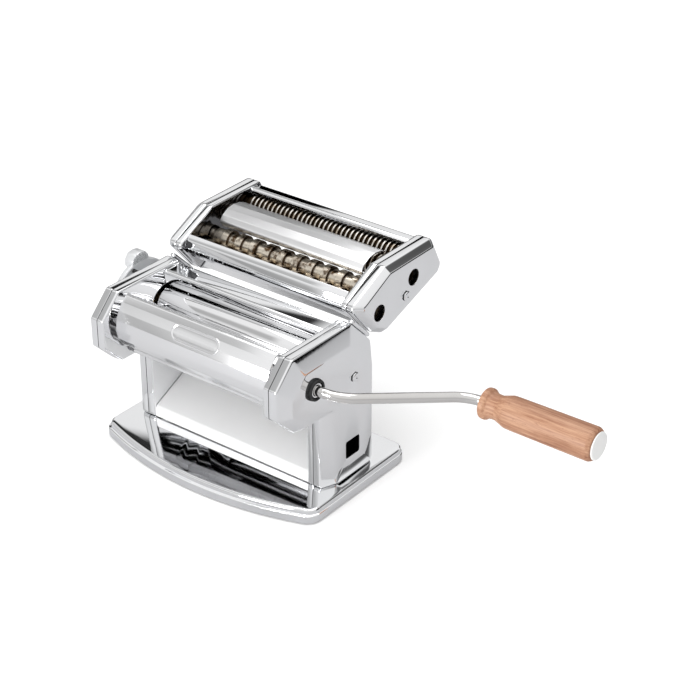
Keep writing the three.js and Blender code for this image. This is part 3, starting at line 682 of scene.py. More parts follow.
    @staticmethod
    def turn(name: str, profile: Outline, y: float, z: float, steps: int = 48) -> bpy.types.Object:
        """Spins an (x, radius) profile about the X axis through (y, z).

        Args:
            name: The piece's name.
            profile: Points that start and end on the axis, or close on themselves.
            y: The axis's place.
            z: The axis's place.
            steps: Faces round the axis.

        Returns:
            The turned piece.
        """
        piece = Bench.blank(name)
        Bench.draw([place(x, y, z + radius) for x, radius in profile])
        bpy.ops.mesh.select_all(action="SELECT")
        bpy.ops.mesh.spin(steps=steps, angle=2 * math.pi, center=place(0, y, z), axis=(1, 0, 0))
        bpy.ops.mesh.select_all(action="SELECT")
        bpy.ops.mesh.remove_doubles(threshold=1e-6)
        Bench.outward()
        return piece

    @staticmethod
    def drill(x0: float, x1: float, radius: float, y: float, z: float, steps: int = 40) -> bpy.types.Object:
        """A round cutting tool along X."""
        return Bench.turn("drill", [(x0, 0), (x0, radius), (x1, radius), (x1, 0)], y, z, steps)

    @staticmethod
    def apply(piece: bpy.types.Object, kind: str, **settings: object) -> None:
        """Adds a modifier, sets it and applies it.

        Args:
            piece: The piece.
            kind: The modifier's type.
            settings: Its settings.
        """
        Bench.activate(piece)
        bpy.ops.object.modifier_add(type=kind)
        modifier = piece.modifiers[-1]
        for key, value in settings.items():
            setattr(modifier, key, value)
        bpy.ops.object.modifier_apply(modifier=modifier.name)

    @staticmethod
    def soften(piece: bpy.types.Object, width: float, segments: int = 3, angle: float = 30.0) -> None:
        """Rounds the edges that are sharper than an angle, in millimetres and degrees.

        Args:
            piece: The piece.
            width: The width of the rounding.
            segments: Faces across it.
            angle: The least angle that is rounded.
        """
        Bench.apply(
            piece, "BEVEL", width=width * MM, segments=segments, limit_method="ANGLE",
            angle_limit=math.radians(angle), use_clamp_overlap=True, harden_normals=False,
        )

    @staticmethod
    def thicken(piece: bpy.types.Object, thickness: float, lining: bpy.types.Material | None = None) -> None:
        """Gives a shell a wall inwards.

        Args:
            piece: The shell.
            thickness: The wall in millimetres.
            lining: The painted shade that the inner side and the edge are made of, if not the same.
        """
        settings: dict[str, object] = {}
        if lining:
            while len(piece.data.materials) < 3:
                piece.data.materials.append(lining)
            # The inner side and the rim take the lining: painted shade.
            settings = {"material_offset": 1, "material_offset_rim": 1}
        Bench.apply(
            piece, "SOLIDIFY", thickness=thickness * MM, offset=-1.0, use_even_offset=True, **settings
        )

    @staticmethod
    def line_steps(piece: bpy.types.Object, lining: bpy.types.Material, y: float, radius: float) -> None:
        """Paints shade on a turned piece's step faces, and on what lies nearer its axis at Y than a radius.

        Args:
            piece: The piece.
            lining: The painted shade that those faces are made of.
            y: The axis's place.
            radius: The radius in millimetres.
        """
        while len(piece.data.materials) < 2:
            piece.data.materials.append(lining)
        axis = place(0, y, 0)
        for polygon in piece.data.polygons:
            if abs(polygon.normal.x) > 0.6 or (polygon.center - axis).yz.length < radius * MM:
                polygon.material_index = 1

    @staticmethod
    def line_cap(piece: bpy.types.Object, lining: bpy.types.Material) -> None:
        """Paints shade on the flat end of a shell with a dark lining of its own.

        Args:
            piece: The piece.
            lining: The painted shade that the end is made of.
        """
        while len(piece.data.materials) < 2:
            piece.data.materials.append(lining)
        for polygon in piece.data.polygons:
            if abs(polygon.normal.x) > 0.99:
                polygon.material_index = 1

    @staticmethod
    def carve(piece: bpy.types.Object, tools: Iterable[bpy.types.Object], operation: str = "DIFFERENCE") -> None:
        """Cuts tools out of a piece, or joins them to it, and removes them.

        Args:
            piece: The piece.
            tools: Solids that are used up.
            operation: The Boolean operation.
        """
        for tool in tools:
            Bench.apply(piece, "BOOLEAN", object=tool, operation=operation, solver="EXACT")
            Bench.activate(tool)
            bpy.ops.object.delete()

    @staticmethod
    def twin(piece: bpy.types.Object, name: str) -> bpy.types.Object:
        """A mirror image of a piece across the machine's middle, with its own mesh.

        Args:
            piece: The right-hand piece.
            name: The copy's name.

        Returns:
            The copy.
        """
        Bench.activate(piece)
        bpy.ops.object.duplicate()
        copy = bpy.context.object
        copy.name = name
        copy.data.name = name
        Bench.edit(copy)
        bpy.ops.transform.resize(value=(-1, 1, 1), center_override=place(0, 0, 0))
        bpy.ops.mesh.flip_normals()
        bpy.ops.object.mode_set(mode="OBJECT")
        Bench.edit(copy)
        Bench.outward()
        return copy

    @staticmethod
    def smooth(piece: bpy.types.Object, degrees: float = 32.0) -> None:
        """Shades a piece smooth up to an angle."""
        Bench.activate(piece)
        bpy.ops.object.shade_smooth_by_angle(angle=math.radians(degrees))


def arc(y: float, z: float, radius: float, start: float, end: float, steps: int) -> Outline:
    """Points along a circle, with angles in degrees from +Y towards +Z."""
    turns = [math.radians(start + (end - start) * i / steps) for i in range(steps + 1)]
    return [(y + radius * math.cos(t), z + radius * math.sin(t)) for t in turns]


def inset(corners: Outline, distances: Sequence[float]) -> Outline:
    """Moves each edge of a counterclockwise outline inwards by its own distance.

    Args:
        corners: The outline.
        distances: How far each edge moves.

    Returns:
        The smaller outline.
    """
    lines = []
    for (y, z), (to_y, to_z), by in zip(corners, corners[1:] + corners[:1], distances):
        run = math.hypot(to_y - y, to_z - z)
        along = ((to_y - y) / run, (to_z - z) / run)
        lines.append(((y - along[1] * by, z + along[0] * by), along))
    moved = []
    for (before, back), (line, ahead) in zip(lines[-1:] + lines[:-1], lines):
        across = back[0] * ahead[1] - back[1] * ahead[0]
        reach = ((line[0] - before[0]) * ahead[1] - (line[1] - before[1]) * ahead[0]) / across
        moved.append((before[0] + back[0] * reach, before[1] + back[1] * reach))
    return moved


def rounded(corners: Outline, radius: float, steps: int = 4, closed: bool = True) -> Outline:
    """Rounds the corners of an outline or path, with the same count of points for any radius.

    Args:
        corners: The outline or path.
        radius: The radius at each corner.
        steps: Faces round each corner.
        closed: Whether the last corner joins the first.

    Returns:
        The rounded outline.
    """
    count = len(corners)
    points: Outline = []
    for index, corner in enumerate(corners):
        if not closed and index in (0, count - 1):
            points.append(corner)
            continue
        before, after = Vector(corners[index - 1]), Vector(corners[(index + 1) % count])
        here = Vector(corner)
        back, ahead = (before - here).normalized(), (after - here).normalized()
        half = back.angle(ahead) / 2
        reach = min(radius / math.tan(half), 0.45 * (before - here).length, 0.45 * (after - here).length)
        start, end = here + back * reach, here + ahead * reach
        for step in range(steps + 1):
            share = step / steps
            point = start * (1 - share) ** 2 + here * 2 * share * (1 - share) + end * share**2
            points.append((point.x, point.y))
    return points


def folded(path: Outline, thickness: float) -> Outline:
    """The closed outline of a sheet folded along a path, its thickness to the path's left.

    Args:
        path: The sheet's outer side.
        thickness: Its thickness.

    Returns:
        The outline.
    """
    inner: Outline = []
    last = len(path) - 1
    for index, (y, z) in enumerate(path):
        before, after = Vector(path[max(index - 1, 0)]), Vector(path[min(index + 1, last)])
        along = (after - before).normalized()
        inner.append((y - along.y * thickness, z + along.x * thickness))
    return [*path, *reversed(inner)]


@dataclass
class Assembly:
    """A sub-assembly: it knows its body and hands its pieces to the frame."""

    finishes: Finishes
    body: str = "frame"

    def deliver(
        self, piece: bpy.types.Object, finish: Finish, nodes: Sequence[str] = (), body: str = "", crease: float = 32.0
    ) -> bpy.types.Object:
        """Finishes a piece and puts it in the frame.

        Args:
            piece: The finished mesh.
            finish: What it is made of.
            nodes: CAD nodes that it stands for.
            body: The body that it rides on, if not the assembly's own.
            crease: Edges sharper than this stay sharp, in degrees.

        Returns:
            The piece.
        """
        Bench.smooth(piece, crease)
        self.finishes.dress(piece, finish)
        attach(piece, body or self.body)
        if nodes:
            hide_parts(*nodes)
        LOG.info("%s: %d faces", piece.name, len(piece.data.polygons))
        return piece

    def keep(self, finish: Finish, *nodes: str) -> None:
        """Leaves CAD nodes in place and gives them a finish.

        Args:
            finish: What they are made of.
            nodes: Their names.
        """
        for name in nodes:
            self.finishes.dress(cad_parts[name], finish)
            LOG.info("%s kept", name)

    def pair(
        self,
        piece: bpy.types.Object,
        names: tuple[str, str],
        finish: Finish,
        nodes: tuple[str, str],
        crease: float = 32.0,
    ) -> None:
        """Delivers a right-hand piece and its mirror image on the left.

        Args:
            piece: The right-hand piece.
            names: Names of the right and the left piece.
            finish: What they are made of.
            nodes: CAD nodes that they stand for.
            crease: Edges sharper than this stay sharp, in degrees.
        """
        piece.name = names[0]
        piece.data.name = names[0]
        other = Bench.twin(piece, names[1])
        self.deliver(piece, finish, (nodes[0],), crease=crease)
        self.deliver(other, finish, (nodes[1],), crease=crease)


HEAD_OUTLINE: Outline = [
    (-25.5, 12.3), (35.5, 12.3), (35.5, 115.0), (12.0, 138.5), (-56.5, 138.5),
    (-75.0, 120.0), (-75.0, 96.5), (-56.5, 78.0), (-25.5, 78.0),
]


@dataclass
class Base(Assembly):
    """The pressed base pan with its two-tier edge."""

    half: float = 106.3
    rear: float = 66.0
    corner: float = 12.0
    bow: float = 282.0
    front: float = -73.5
    sheet: float = 1.2
    steps: tuple[tuple[float, float, float], ...] = (
        (0.35, 0.35, 1.0), (0.0, 0.0, 1.5), (0.0, 0.0, 6.7), (0.12, 0.2, 7.2), (0.5, 0.9, 7.65),
        (0.95, 1.9, 7.85), (1.1, 2.4, 8.2), (1.15, 2.6, 9.6), (1.3, 2.9, 10.6), (1.75, 3.5, 11.4),
        (2.4, 4.3, 11.85), (3.3, 5.4, 12.0),
    )

    def plan(self, side: float, front: float, z: float) -> list[Vector]:
        """The plan outline, drawn in by distances at the sides and the bowed front.

        Args:
            side: How far the sides are drawn in.
            front: How far the front is drawn in.
            z: The height.

        Returns:
            Points in metres.
        """
        half, rear = self.half - side, self.rear - side
        radius, bow = self.corner - side, self.bow - side
        bow_y = self.front + front + bow
        corner_x = half - radius
        corner_y = bow_y - math.sqrt((bow - radius) ** 2 - corner_x**2)
        meet = math.degrees(math.atan2(bow_y - corner_y, corner_x))
        outline = [
            *arc(corner_x, rear - radius, radius, 0, 90, 8),
            *arc(-corner_x, rear - radius, radius, 90, 180, 8),
            *arc(-corner_x, corner_y, radius, 180, 180 + meet, 7),
            *arc(0, bow_y, bow, 180 + meet, 360 - meet, 24)[1:],
            *arc(corner_x, corner_y, radius, 360 - meet, 360, 7)[1:],
        ]
        return [place(x, y, z) for x, y in outline]

    def build(self) -> None:
        """Presses the pan and dresses it and its feet."""
        pan = Bench.bridge("base_shell", [self.plan(*step) for step in self.steps])
        Bench.thicken(pan, self.sheet)
        self.deliver(pan, Finish.CHROME, ("base_pan",), crease=24)
        self.keep(Finish.RUBBER, "foot_front_left", "foot_front_right", "foot_rear_left", "foot_rear_right")


@dataclass
class Housing(Assembly):
    """Cheeks, side covers, sheet covers, chute, rods and what holds them."""

    face: tuple[float, ...] = (0, 4, 15, 14.5, 17, 13, 8, 1.5, 12)
    corner: float = 3.2
    sheet: float = 1.2
    bevel: tuple[tuple[float, float], ...] = (
        (84.6, 0.0), (89.7, 0.0), (90.4, 0.006), (90.9, 0.025), (91.25, 0.06), (91.6, 0.12), (95.35, 0.87),
        (95.68, 0.935), (95.9, 0.985), (96.0, 1.05),
    )
    rim: tuple[tuple[float, float], ...] = (
        (84.0, 0.0), (80.4, 0.36), (79.5, 0.5), (78.9, 0.8), (78.6, 1.25), (78.5, 1.9),
    )
    rivet_at: tuple[float, float] = (11.0, 95.5)
    front_path: tuple[tuple[float, float], ...] = (
        (-45.5, 130.5), (-48, 135.1), (-52, 136.5), (-57, 131.9), (-61.4, 126.1), (-64.4, 118.9), (-65.4, 111),
        (-64, 103.3), (-60.6, 97.3), (-56, 93.3), (-53.6, 87.7), (-48.5, 86),
    )
    rear_path: tuple[tuple[float, float], ...] = (
        (-4.3, 123.9), (-6.3, 135), (-4.3, 136.5), (10.5, 136.9), (33, 113), (33, 66.5),
    )
    chute_path: tuple[tuple[float, float], ...] = ((-24, 12.9), (-24, 20.3), (-22, 22.3), (29.5, 46.9))
    front_half: float = 74.2
    plaque: tuple[float, float, float, float] = (2.5, 12.9, 23.5, 7.0)

    def end_ring(self, share: float, by: Sequence[float], extra: float = 0.0) -> Outline:
        """The end plate's outline drawn in by a share of each edge's inset.

        Args:
            share: The share of each inset.
            by: Each edge's inset.
            extra: A further inset of every edge but the foot.

        Returns:
            The outline.
        """
        distances = [edge * share + extra for edge in by]
        if extra:
            distances[0] = 0.0
        return rounded(inset(HEAD_OUTLINE, distances), self.corner + 1.5 * min(share, 1.0), 5)

    def shell(self) -> bpy.types.Object:
        """The right-hand side cover before its holes.

        Returns:
            The cover.
        """
        rings = [(x, self.end_ring(share, self.face)) for x, share in self.bevel]
        cover = Bench.stack("right_cover_shell", rings)
        # The cover's inner side and edges get painted shade, so the gap at the cheek reads dark.
        Bench.thicken(cover, self.sheet, self.finishes.made[Finish.LINING])
        return cover

    def cut_holes(self) -> None:
        """Builds both side covers with their own holes."""
        right = self.shell()
        left = Bench.twin(right, "left_cover_shell")
        clamp = Bench.slab("tool", rounded([(-0.5, 28.5), (16.2, 28.5), (16.2, 43.5), (-0.5, 43.5)], 2.2, 4), 91, 99)
        socket = Bench.drill(91, 99, 8.7, AXIS_Y, AXIS_Z, 64)
        Bench.carve(right, [clamp, socket, Bench.drill(84, 98, 2.3, *self.rivet_at)])
        Bench.soften(right, 0.3, 2, 55)
        self.deliver(right, Finish.CHROME, ("right_side_cover",))
        tools = [Bench.drill(-99, -91, 4.4, -7.5, AXIS_Z), Bench.drill(-98, -84, 2.3, *self.rivet_at)]
        for index in range(7):
            turn = math.radians(108 + 25 * index)
            at = (-7.5 + 27.7 * math.cos(turn), AXIS_Z + 27.7 * math.sin(turn))
            tools.append(Bench.drill(-99, -88, 1.8, *at, 20))
        Bench.carve(left, tools)
        Bench.soften(left, 0.25, 2, 55)
        self.deliver(left, Finish.CHROME, ("left_side_cover",))

    def cheeks(self) -> None:
        """Dished cheek plates with a bush hole and a slot for the sliding bearing."""
        rings = [(x, self.end_ring(0.0, self.face, by)) for x, by in self.rim]
        cheek = Bench.stack("right_cheek_plate", rings)
        # The cheek's inner side and edges get painted shade.
        Bench.thicken(cheek, 1.5, self.finishes.made[Finish.LINING])
        bush = Bench.drill(77, 85, 9.7, AXIS_Y, AXIS_Z, 48)
        slot = Bench.slab("tool", [(-13.9, 96.2), (8.5, 96.2), (8.5, 116.8), (-13.9, 116.8)], 77, 85)
        Bench.carve(cheek, [bush, slot])
        Bench.soften(cheek, 0.35, 2, 55)
        names = ("right_cheek_plate", "left_cheek_plate")
        self.pair(cheek, names, Finish.CHROME, ("right_cheek", "left_cheek"))

    def sheets(self) -> None:
        """Folds the front cover, rear cover and chute."""
        front = rounded(list(self.front_path), 5.0, 7, closed=False)
        cover = Bench.slab("front_housing", folded(front, self.sheet), -self.front_half, self.front_half)
        Bench.soften(cover, 0.3, 2, 55)
        self.deliver(cover, Finish.COVER, ("front_cover",), crease=40)
        self.badge(front)
        rear = rounded(list(self.rear_path), 4.0, 7, closed=False)
        back = Bench.slab("rear_housing", folded(rear, -self.sheet), -X_SHEET, X_SHEET)
        Bench.soften(back, 0.3, 2, 55)
        self.deliver(back, Finish.CHROME, ("rear_cover",), crease=40)
        slope = rounded(list(self.chute_path), 1.6, 6, closed=False)
        chute = Bench.slab("outlet_chute", folded(slope, -self.sheet), -X_SHEET, X_SHEET)
        Bench.soften(chute, 0.3, 2, 55)
        self.deliver(chute, Finish.CHUTE, ("chute",), crease=40)

    def badge(self, path: Outline) -> None:
        """A blank oval pressing on the front cover.

        Args:
            path: The cover's folded path.
        """
        centre_x, down, half_x, half_s = self.plaque
        reach = [0.0]
        for (y, z), (to_y, to_z) in zip(path, path[1:]):
            reach.append(reach[-1] + math.hypot(to_y - y, to_z - z))
        start = next(i for i, (_, z) in enumerate(path) if i and path[i - 1][1] > z)

        def on_cover(x: float, s: float, lift: float) -> Vector:
            """The point at a distance along the cover, raised from its face.

            Args:
                x: Place along the cover.
                s: Distance down its face.
                lift: Height above its face.

            Returns:
                The point in metres.
            """
            at = reach[start] + s
            index = max(i for i in range(len(path) - 1) if reach[i] <= at)
            share = (at - reach[index]) / (reach[index + 1] - reach[index])
            (y, z), (to_y, to_z) = path[index], path[index + 1]
            along = Vector((to_y - y, to_z - z)).normalized()
            out = (along.y, -along.x)
            return place(x, y + (to_y - y) * share + out[0] * lift, z + (to_z - z) * share + out[1] * lift)

        def oval(by: float, lift: float) -> list[Vector]:
            """One ring of the pressing: a stadium drawn in by a distance.

            Args:
                by: How far the ring is drawn in.
                lift: Height above the face.

            Returns:
                The ring.
            """
            radius = half_s - by
            straight = half_x - half_s
            ends = [
                *arc(centre_x + straight, down, radius, -90, 90, 14),
                *arc(centre_x - straight, down, radius, 90, 270, 14),
            ]
            return [on_cover(x, s, lift) for x, s in ends]

        rings = [oval(by, lift) for by, lift in (
            (0.0, -0.15), (0.15, 0.12), (0.45, 0.42), (0.8, 0.5), (1.15, 0.42), (1.5, 0.16), (1.9, 0.1), (2.4, 0.16),
            (3.0, 0.22), (5.4, 0.24), (6.85, 0.24),
        )]
        badge = Bench.bridge("front_pressing", rings)
        Bench.thicken(badge, 0.12)
        self.deliver(badge, Finish.COVER, crease=60)

    def fittings(self) -> None:
        """Tie rods, rivets and the ring round the crank's socket."""
        for name, node, radius, y, z in (
            ("front_rod", "front_tie_rod", 2.4, -57.0, 104.5), ("rear_rod", "rear_tie_rod", 4.0, 22.2, 106.5),
            ("lower_rod", "lower_tie_rod", 4.0, 21.85, 30.0),
        ):
            end = X_SHEET
            profile = [
                (-end, 0), (-end, radius - 0.4), (-end + 0.4, radius), (-end + 6, radius), (-end + 6.4, radius - 0.3),
                (end - 6.4, radius - 0.3), (end - 6, radius), (end - 0.4, radius), (end, radius - 0.4), (end, 0),
            ]
            self.deliver(Bench.turn(name, profile, y, z, 48), Finish.STEEL, (node,))
        rivet = Bench.turn("right_rivet", self.rivet_profile(94.5), *self.rivet_at, 40)
        self.pair(rivet, ("right_rivet", "left_rivet"), Finish.CHROME, ("right_cover_rivet", "left_cover_rivet"))
        ring = [
            (93.5, 6.4), (93.5, 8.4), (97.3, 8.4), (97.75, 8.28), (98.05, 8.0), (98.2, 7.6), (98.2, 7.1), (98.05, 6.7),
            (97.7, 6.45), (97.3, 6.4), (93.5, 6.4),
        ]
        self.deliver(Bench.turn("crank_socket_ring", ring, AXIS_Y, AXIS_Z, 72), Finish.BLACK, ("socket_ring",))
        self.keep(Finish.BRONZE, "front_bush_left", "front_bush_right")
        self.keep(Finish.STEEL, "front_scraper", "rear_scraper")

    @staticmethod
    def rivet_profile(inside: float) -> Outline:
        """Half section of a clinched rivet with a small dimple in its domed head.

        Args:
            inside: The shank's inner end.

        Returns:
            The half section.
        """
        return [
            (inside - 1.3, 0), (inside - 1.3, 2.7), (inside - 1.0, 3.0), (inside, 3.0), (inside, 2.0), (96.3, 2.0),
            (96.3, 3.8), (96.4, 4.0), (96.7, 3.95), (97.05, 3.6), (97.3, 3.0), (97.45, 2.3), (97.48, 1.6),
            (97.38, 1.1), (97.1, 0.7), (96.95, 0.4), (96.9, 0.0),
        ]

    def build(self) -> None:
        """Builds the whole housing."""
        self.cheeks()
        self.cut_holes()
        self.sheets()
        self.fittings()


@dataclass
class Rollers(Assembly):
    """The pair of smooth sheeting rollers with their gears and bearings."""

    half: float = 77.0
    radius: float = 16.0
    journal: float = 6.0

    def left_half(self) -> Outline:
        """Half section up to the right-hand end of the smooth body.

        Returns:
            The section.
        """
        return [
            (-84.0, 0), (-84.0, 5.5), (-83.5, 6.0), (-self.half, self.journal), (-self.half, 15.2),
            (-self.half + 0.25, 15.7), (-self.half + 0.8, self.radius), (self.half - 0.8, self.radius),
            (self.half - 0.25, 15.7), (self.half, 15.2), (self.half, self.journal),
        ]

    def build(self) -> None:
        """Turns both rollers and cuts the drive socket."""
        front = Bench.turn("front_sheeting_roller", [
            *self.left_half(), (96.7, self.journal), (97.2, 5.5), (97.2, 4.7), (96.8, 4.3), (53.2, 4.3), (53.2, 0),
        ], AXIS_Y, AXIS_Z, 128)
        slot = Bench.slab("tool", [(-38.3, 102.5), (-33.7, 102.5), (-33.7, 110.5), (-38.3, 110.5)], 45.2, 53.3)
        Bench.carve(front, [slot])
        self.deliver(front, Finish.ROLLER, ("front_roller",), "front_roller")
        rear = Bench.turn("rear_sheeting_roller", [
            *self.left_half(), (93.0, self.journal), (93.5, 5.5), (93.5, 0),
        ], REAR_Y, AXIS_Z, 128)
        self.deliver(rear, Finish.ROLLER, ("rear_roller",), "rear_roller")
        self.keep(Finish.GEAR, "front_gear", "rear_gear")
        self.keep(Finish.BRONZE, "rear_bearing_left", "rear_bearing_right")


@dataclass
class Crank(Assembly):
    """The bent rod, its turned grip and the end cap."""

    radius: float = 4.0
    bend: float = 15.0
    knees: tuple[tuple[float, float, float], ...] = ((116.3, -36.0, 106.5), (172.8, 50.077, 88.204))
    tip: float = 269.6

    def route(self) -> list[Vector]:
        """Points along the rod's middle, in metres.

        Returns:
            The points.
        """
        first, second = (Vector(knee) for knee in self.knees)
        start, end = Vector((53.5, *first[1:])), Vector((self.tip, *second[1:]))
        points = [start]
        for before, knee, after in ((start, first, second), (first, second, end)):
            a = knee + (before - knee).normalized() * self.bend
            b = knee + (after - knee).normalized() * self.bend
            for step in range(13):
                share = step / 12
                points.append(a * (1 - share) ** 2 + knee * 2 * share * (1 - share) + b * share**2)
        points.append(end)
        return [place(*point) for point in points]

    def build(self) -> None:
        """Bends the rod, turns the grip and caps it."""
        rod = Bench.sweep("crank_arm", self.route(), self.radius * MM, 40)
        tongue = Bench.slab("tool", [(-38, 103.3), (-34, 103.3), (-34, 109.7), (-38, 109.7)], 46.5, 55.2)
        Bench.carve(rod, [tongue], "UNION")
        Bench.soften(rod, 0.3, 2, 50)
        self.deliver(rod, Finish.ROD, ("crank_rod",), "crank")
        self.grip()
        self.keep(Finish.STEEL, "grip_clip")

    def grip(self) -> None:
        """Turns the beech grip with its collar and neck, and the white cap."""
        _, y, z = self.knees[1]
        outside = rounded([
            (185.8, 4.4), (185.8, 10.2), (186.6, 12.1), (190.4, 12.2), (192.0, 10.4), (195.0, 9.7), (199.6, 9.7),
            (200.0, 10.1), (202.8, 11.0), (207.5, 12.6), (213.0, 12.8), (240.0, 13.0), (278.2, 13.2), (281.6, 11.4),
            (281.6, 8.0),
        ], 2.2, 5, closed=False)
        profile = [*outside, (266.2, 8.0), (266.2, 4.4), (185.8, 4.4)]
        grip = Bench.turn("beech_grip", profile, y, z, 96)
        self.deliver(grip, Finish.BEECH, ("crank_grip",), "grip", 40)
        cap = Bench.turn("white_grip_cap", rounded([
            (276.6, 0), (276.6, 7.7), (281.9, 7.7), (281.9, 11.0), (283.0, 10.8), (283.5, 9.6), (283.5, 0),
        ], 0.5, 3, closed=False), y, z, 72)
        self.deliver(cap, Finish.WHITE, ("grip_end_cap",), "grip", 40)


@dataclass
class Adjuster(Assembly):
    """The gap dial with its thumb lug, and what runs with it."""

    y: float = -7.5
    radius: float = 32.0
    inside: float = -100.5
    lug_end: float = -110.0

    def lug(self) -> bpy.types.Object:
        """The thumb lug: a rounded block with grip ridges on its inner side.

        Returns:
            The lug.
        """
        top = AXIS_Z + self.radius
        outline = rounded([
            (self.y - 9, top - 9.2), (self.y + 9, top - 9.2), (self.y + 9, top + 1.8), (self.y + 5.6, top + 6.2),
            (self.y, top + 7.2), (self.y - 5.6, top + 6.2), (self.y - 9, top + 1.8),
        ], 4.0, 6)
        block = Bench.slab("lug", outline, self.lug_end, self.inside)
        Bench.soften(block, 1.0, 3, 50)
        ridges = []
        for index in range(6):
            z = top - 3.2 + index * 1.5
            ridges.append(Bench.slab("groove", [
                (self.y - 12, z), (self.y + 12, z), (self.y + 12, z + 0.6), (self.y - 12, z + 0.6),
            ], self.inside - 0.7, self.inside + 1))
            y = self.y - 7.6 + index * 3.0
            ridges.append(Bench.slab("groove", [
                (y, top - 4), (y + 0.6, top - 4), (y + 0.6, top + 12), (y, top + 12),
            ], self.inside - 0.7, self.inside + 1))
        Bench.carve(block, ridges)
        return block

    def build(self) -> None:
        """Turns the dial, joins its lug and drills the pin's hole."""
        section = [
            (0, 4.4), (0, 31.0), (-0.8, 32), (-4.0, 32), (-5, 31), (-5, 28.6), (-4.5, 28.0), (-4.5, 11.0), (-5, 9.6),
            (-7.6, 9.0), (-8, 8.4), (-8, 7.2), (-2, 7.2), (-2, 4.4), (0, 4.4),
        ]
        profile = rounded([(self.inside + x, radius) for x, radius in section], 0.4, 2, closed=False)
        dial = Bench.turn("gap_dial", profile, self.y, AXIS_Z, 112)
        pin = Bench.drill(-112, -99, 1.9, -16.06, 132.84, 24)
        Bench.carve(dial, [self.lug()], "UNION")
        Bench.carve(dial, [pin])
        self.deliver(dial, Finish.GREY, ("adjuster_dial",), "dial")
        self.keep(Finish.BLACK, "adjuster_pin")
        self.keep(Finish.STEEL, "adjuster_shaft", "adjuster_washer", "adjuster_spring")


CUTTER_OUTLINE: Outline = [
    (-8.6, -14.0), (2.9, -24.6), (74.6, -21.6), (82.9, -14.7), (78.0, 11.4), (20.6, 27.5), (-23.4, 19.7),
]


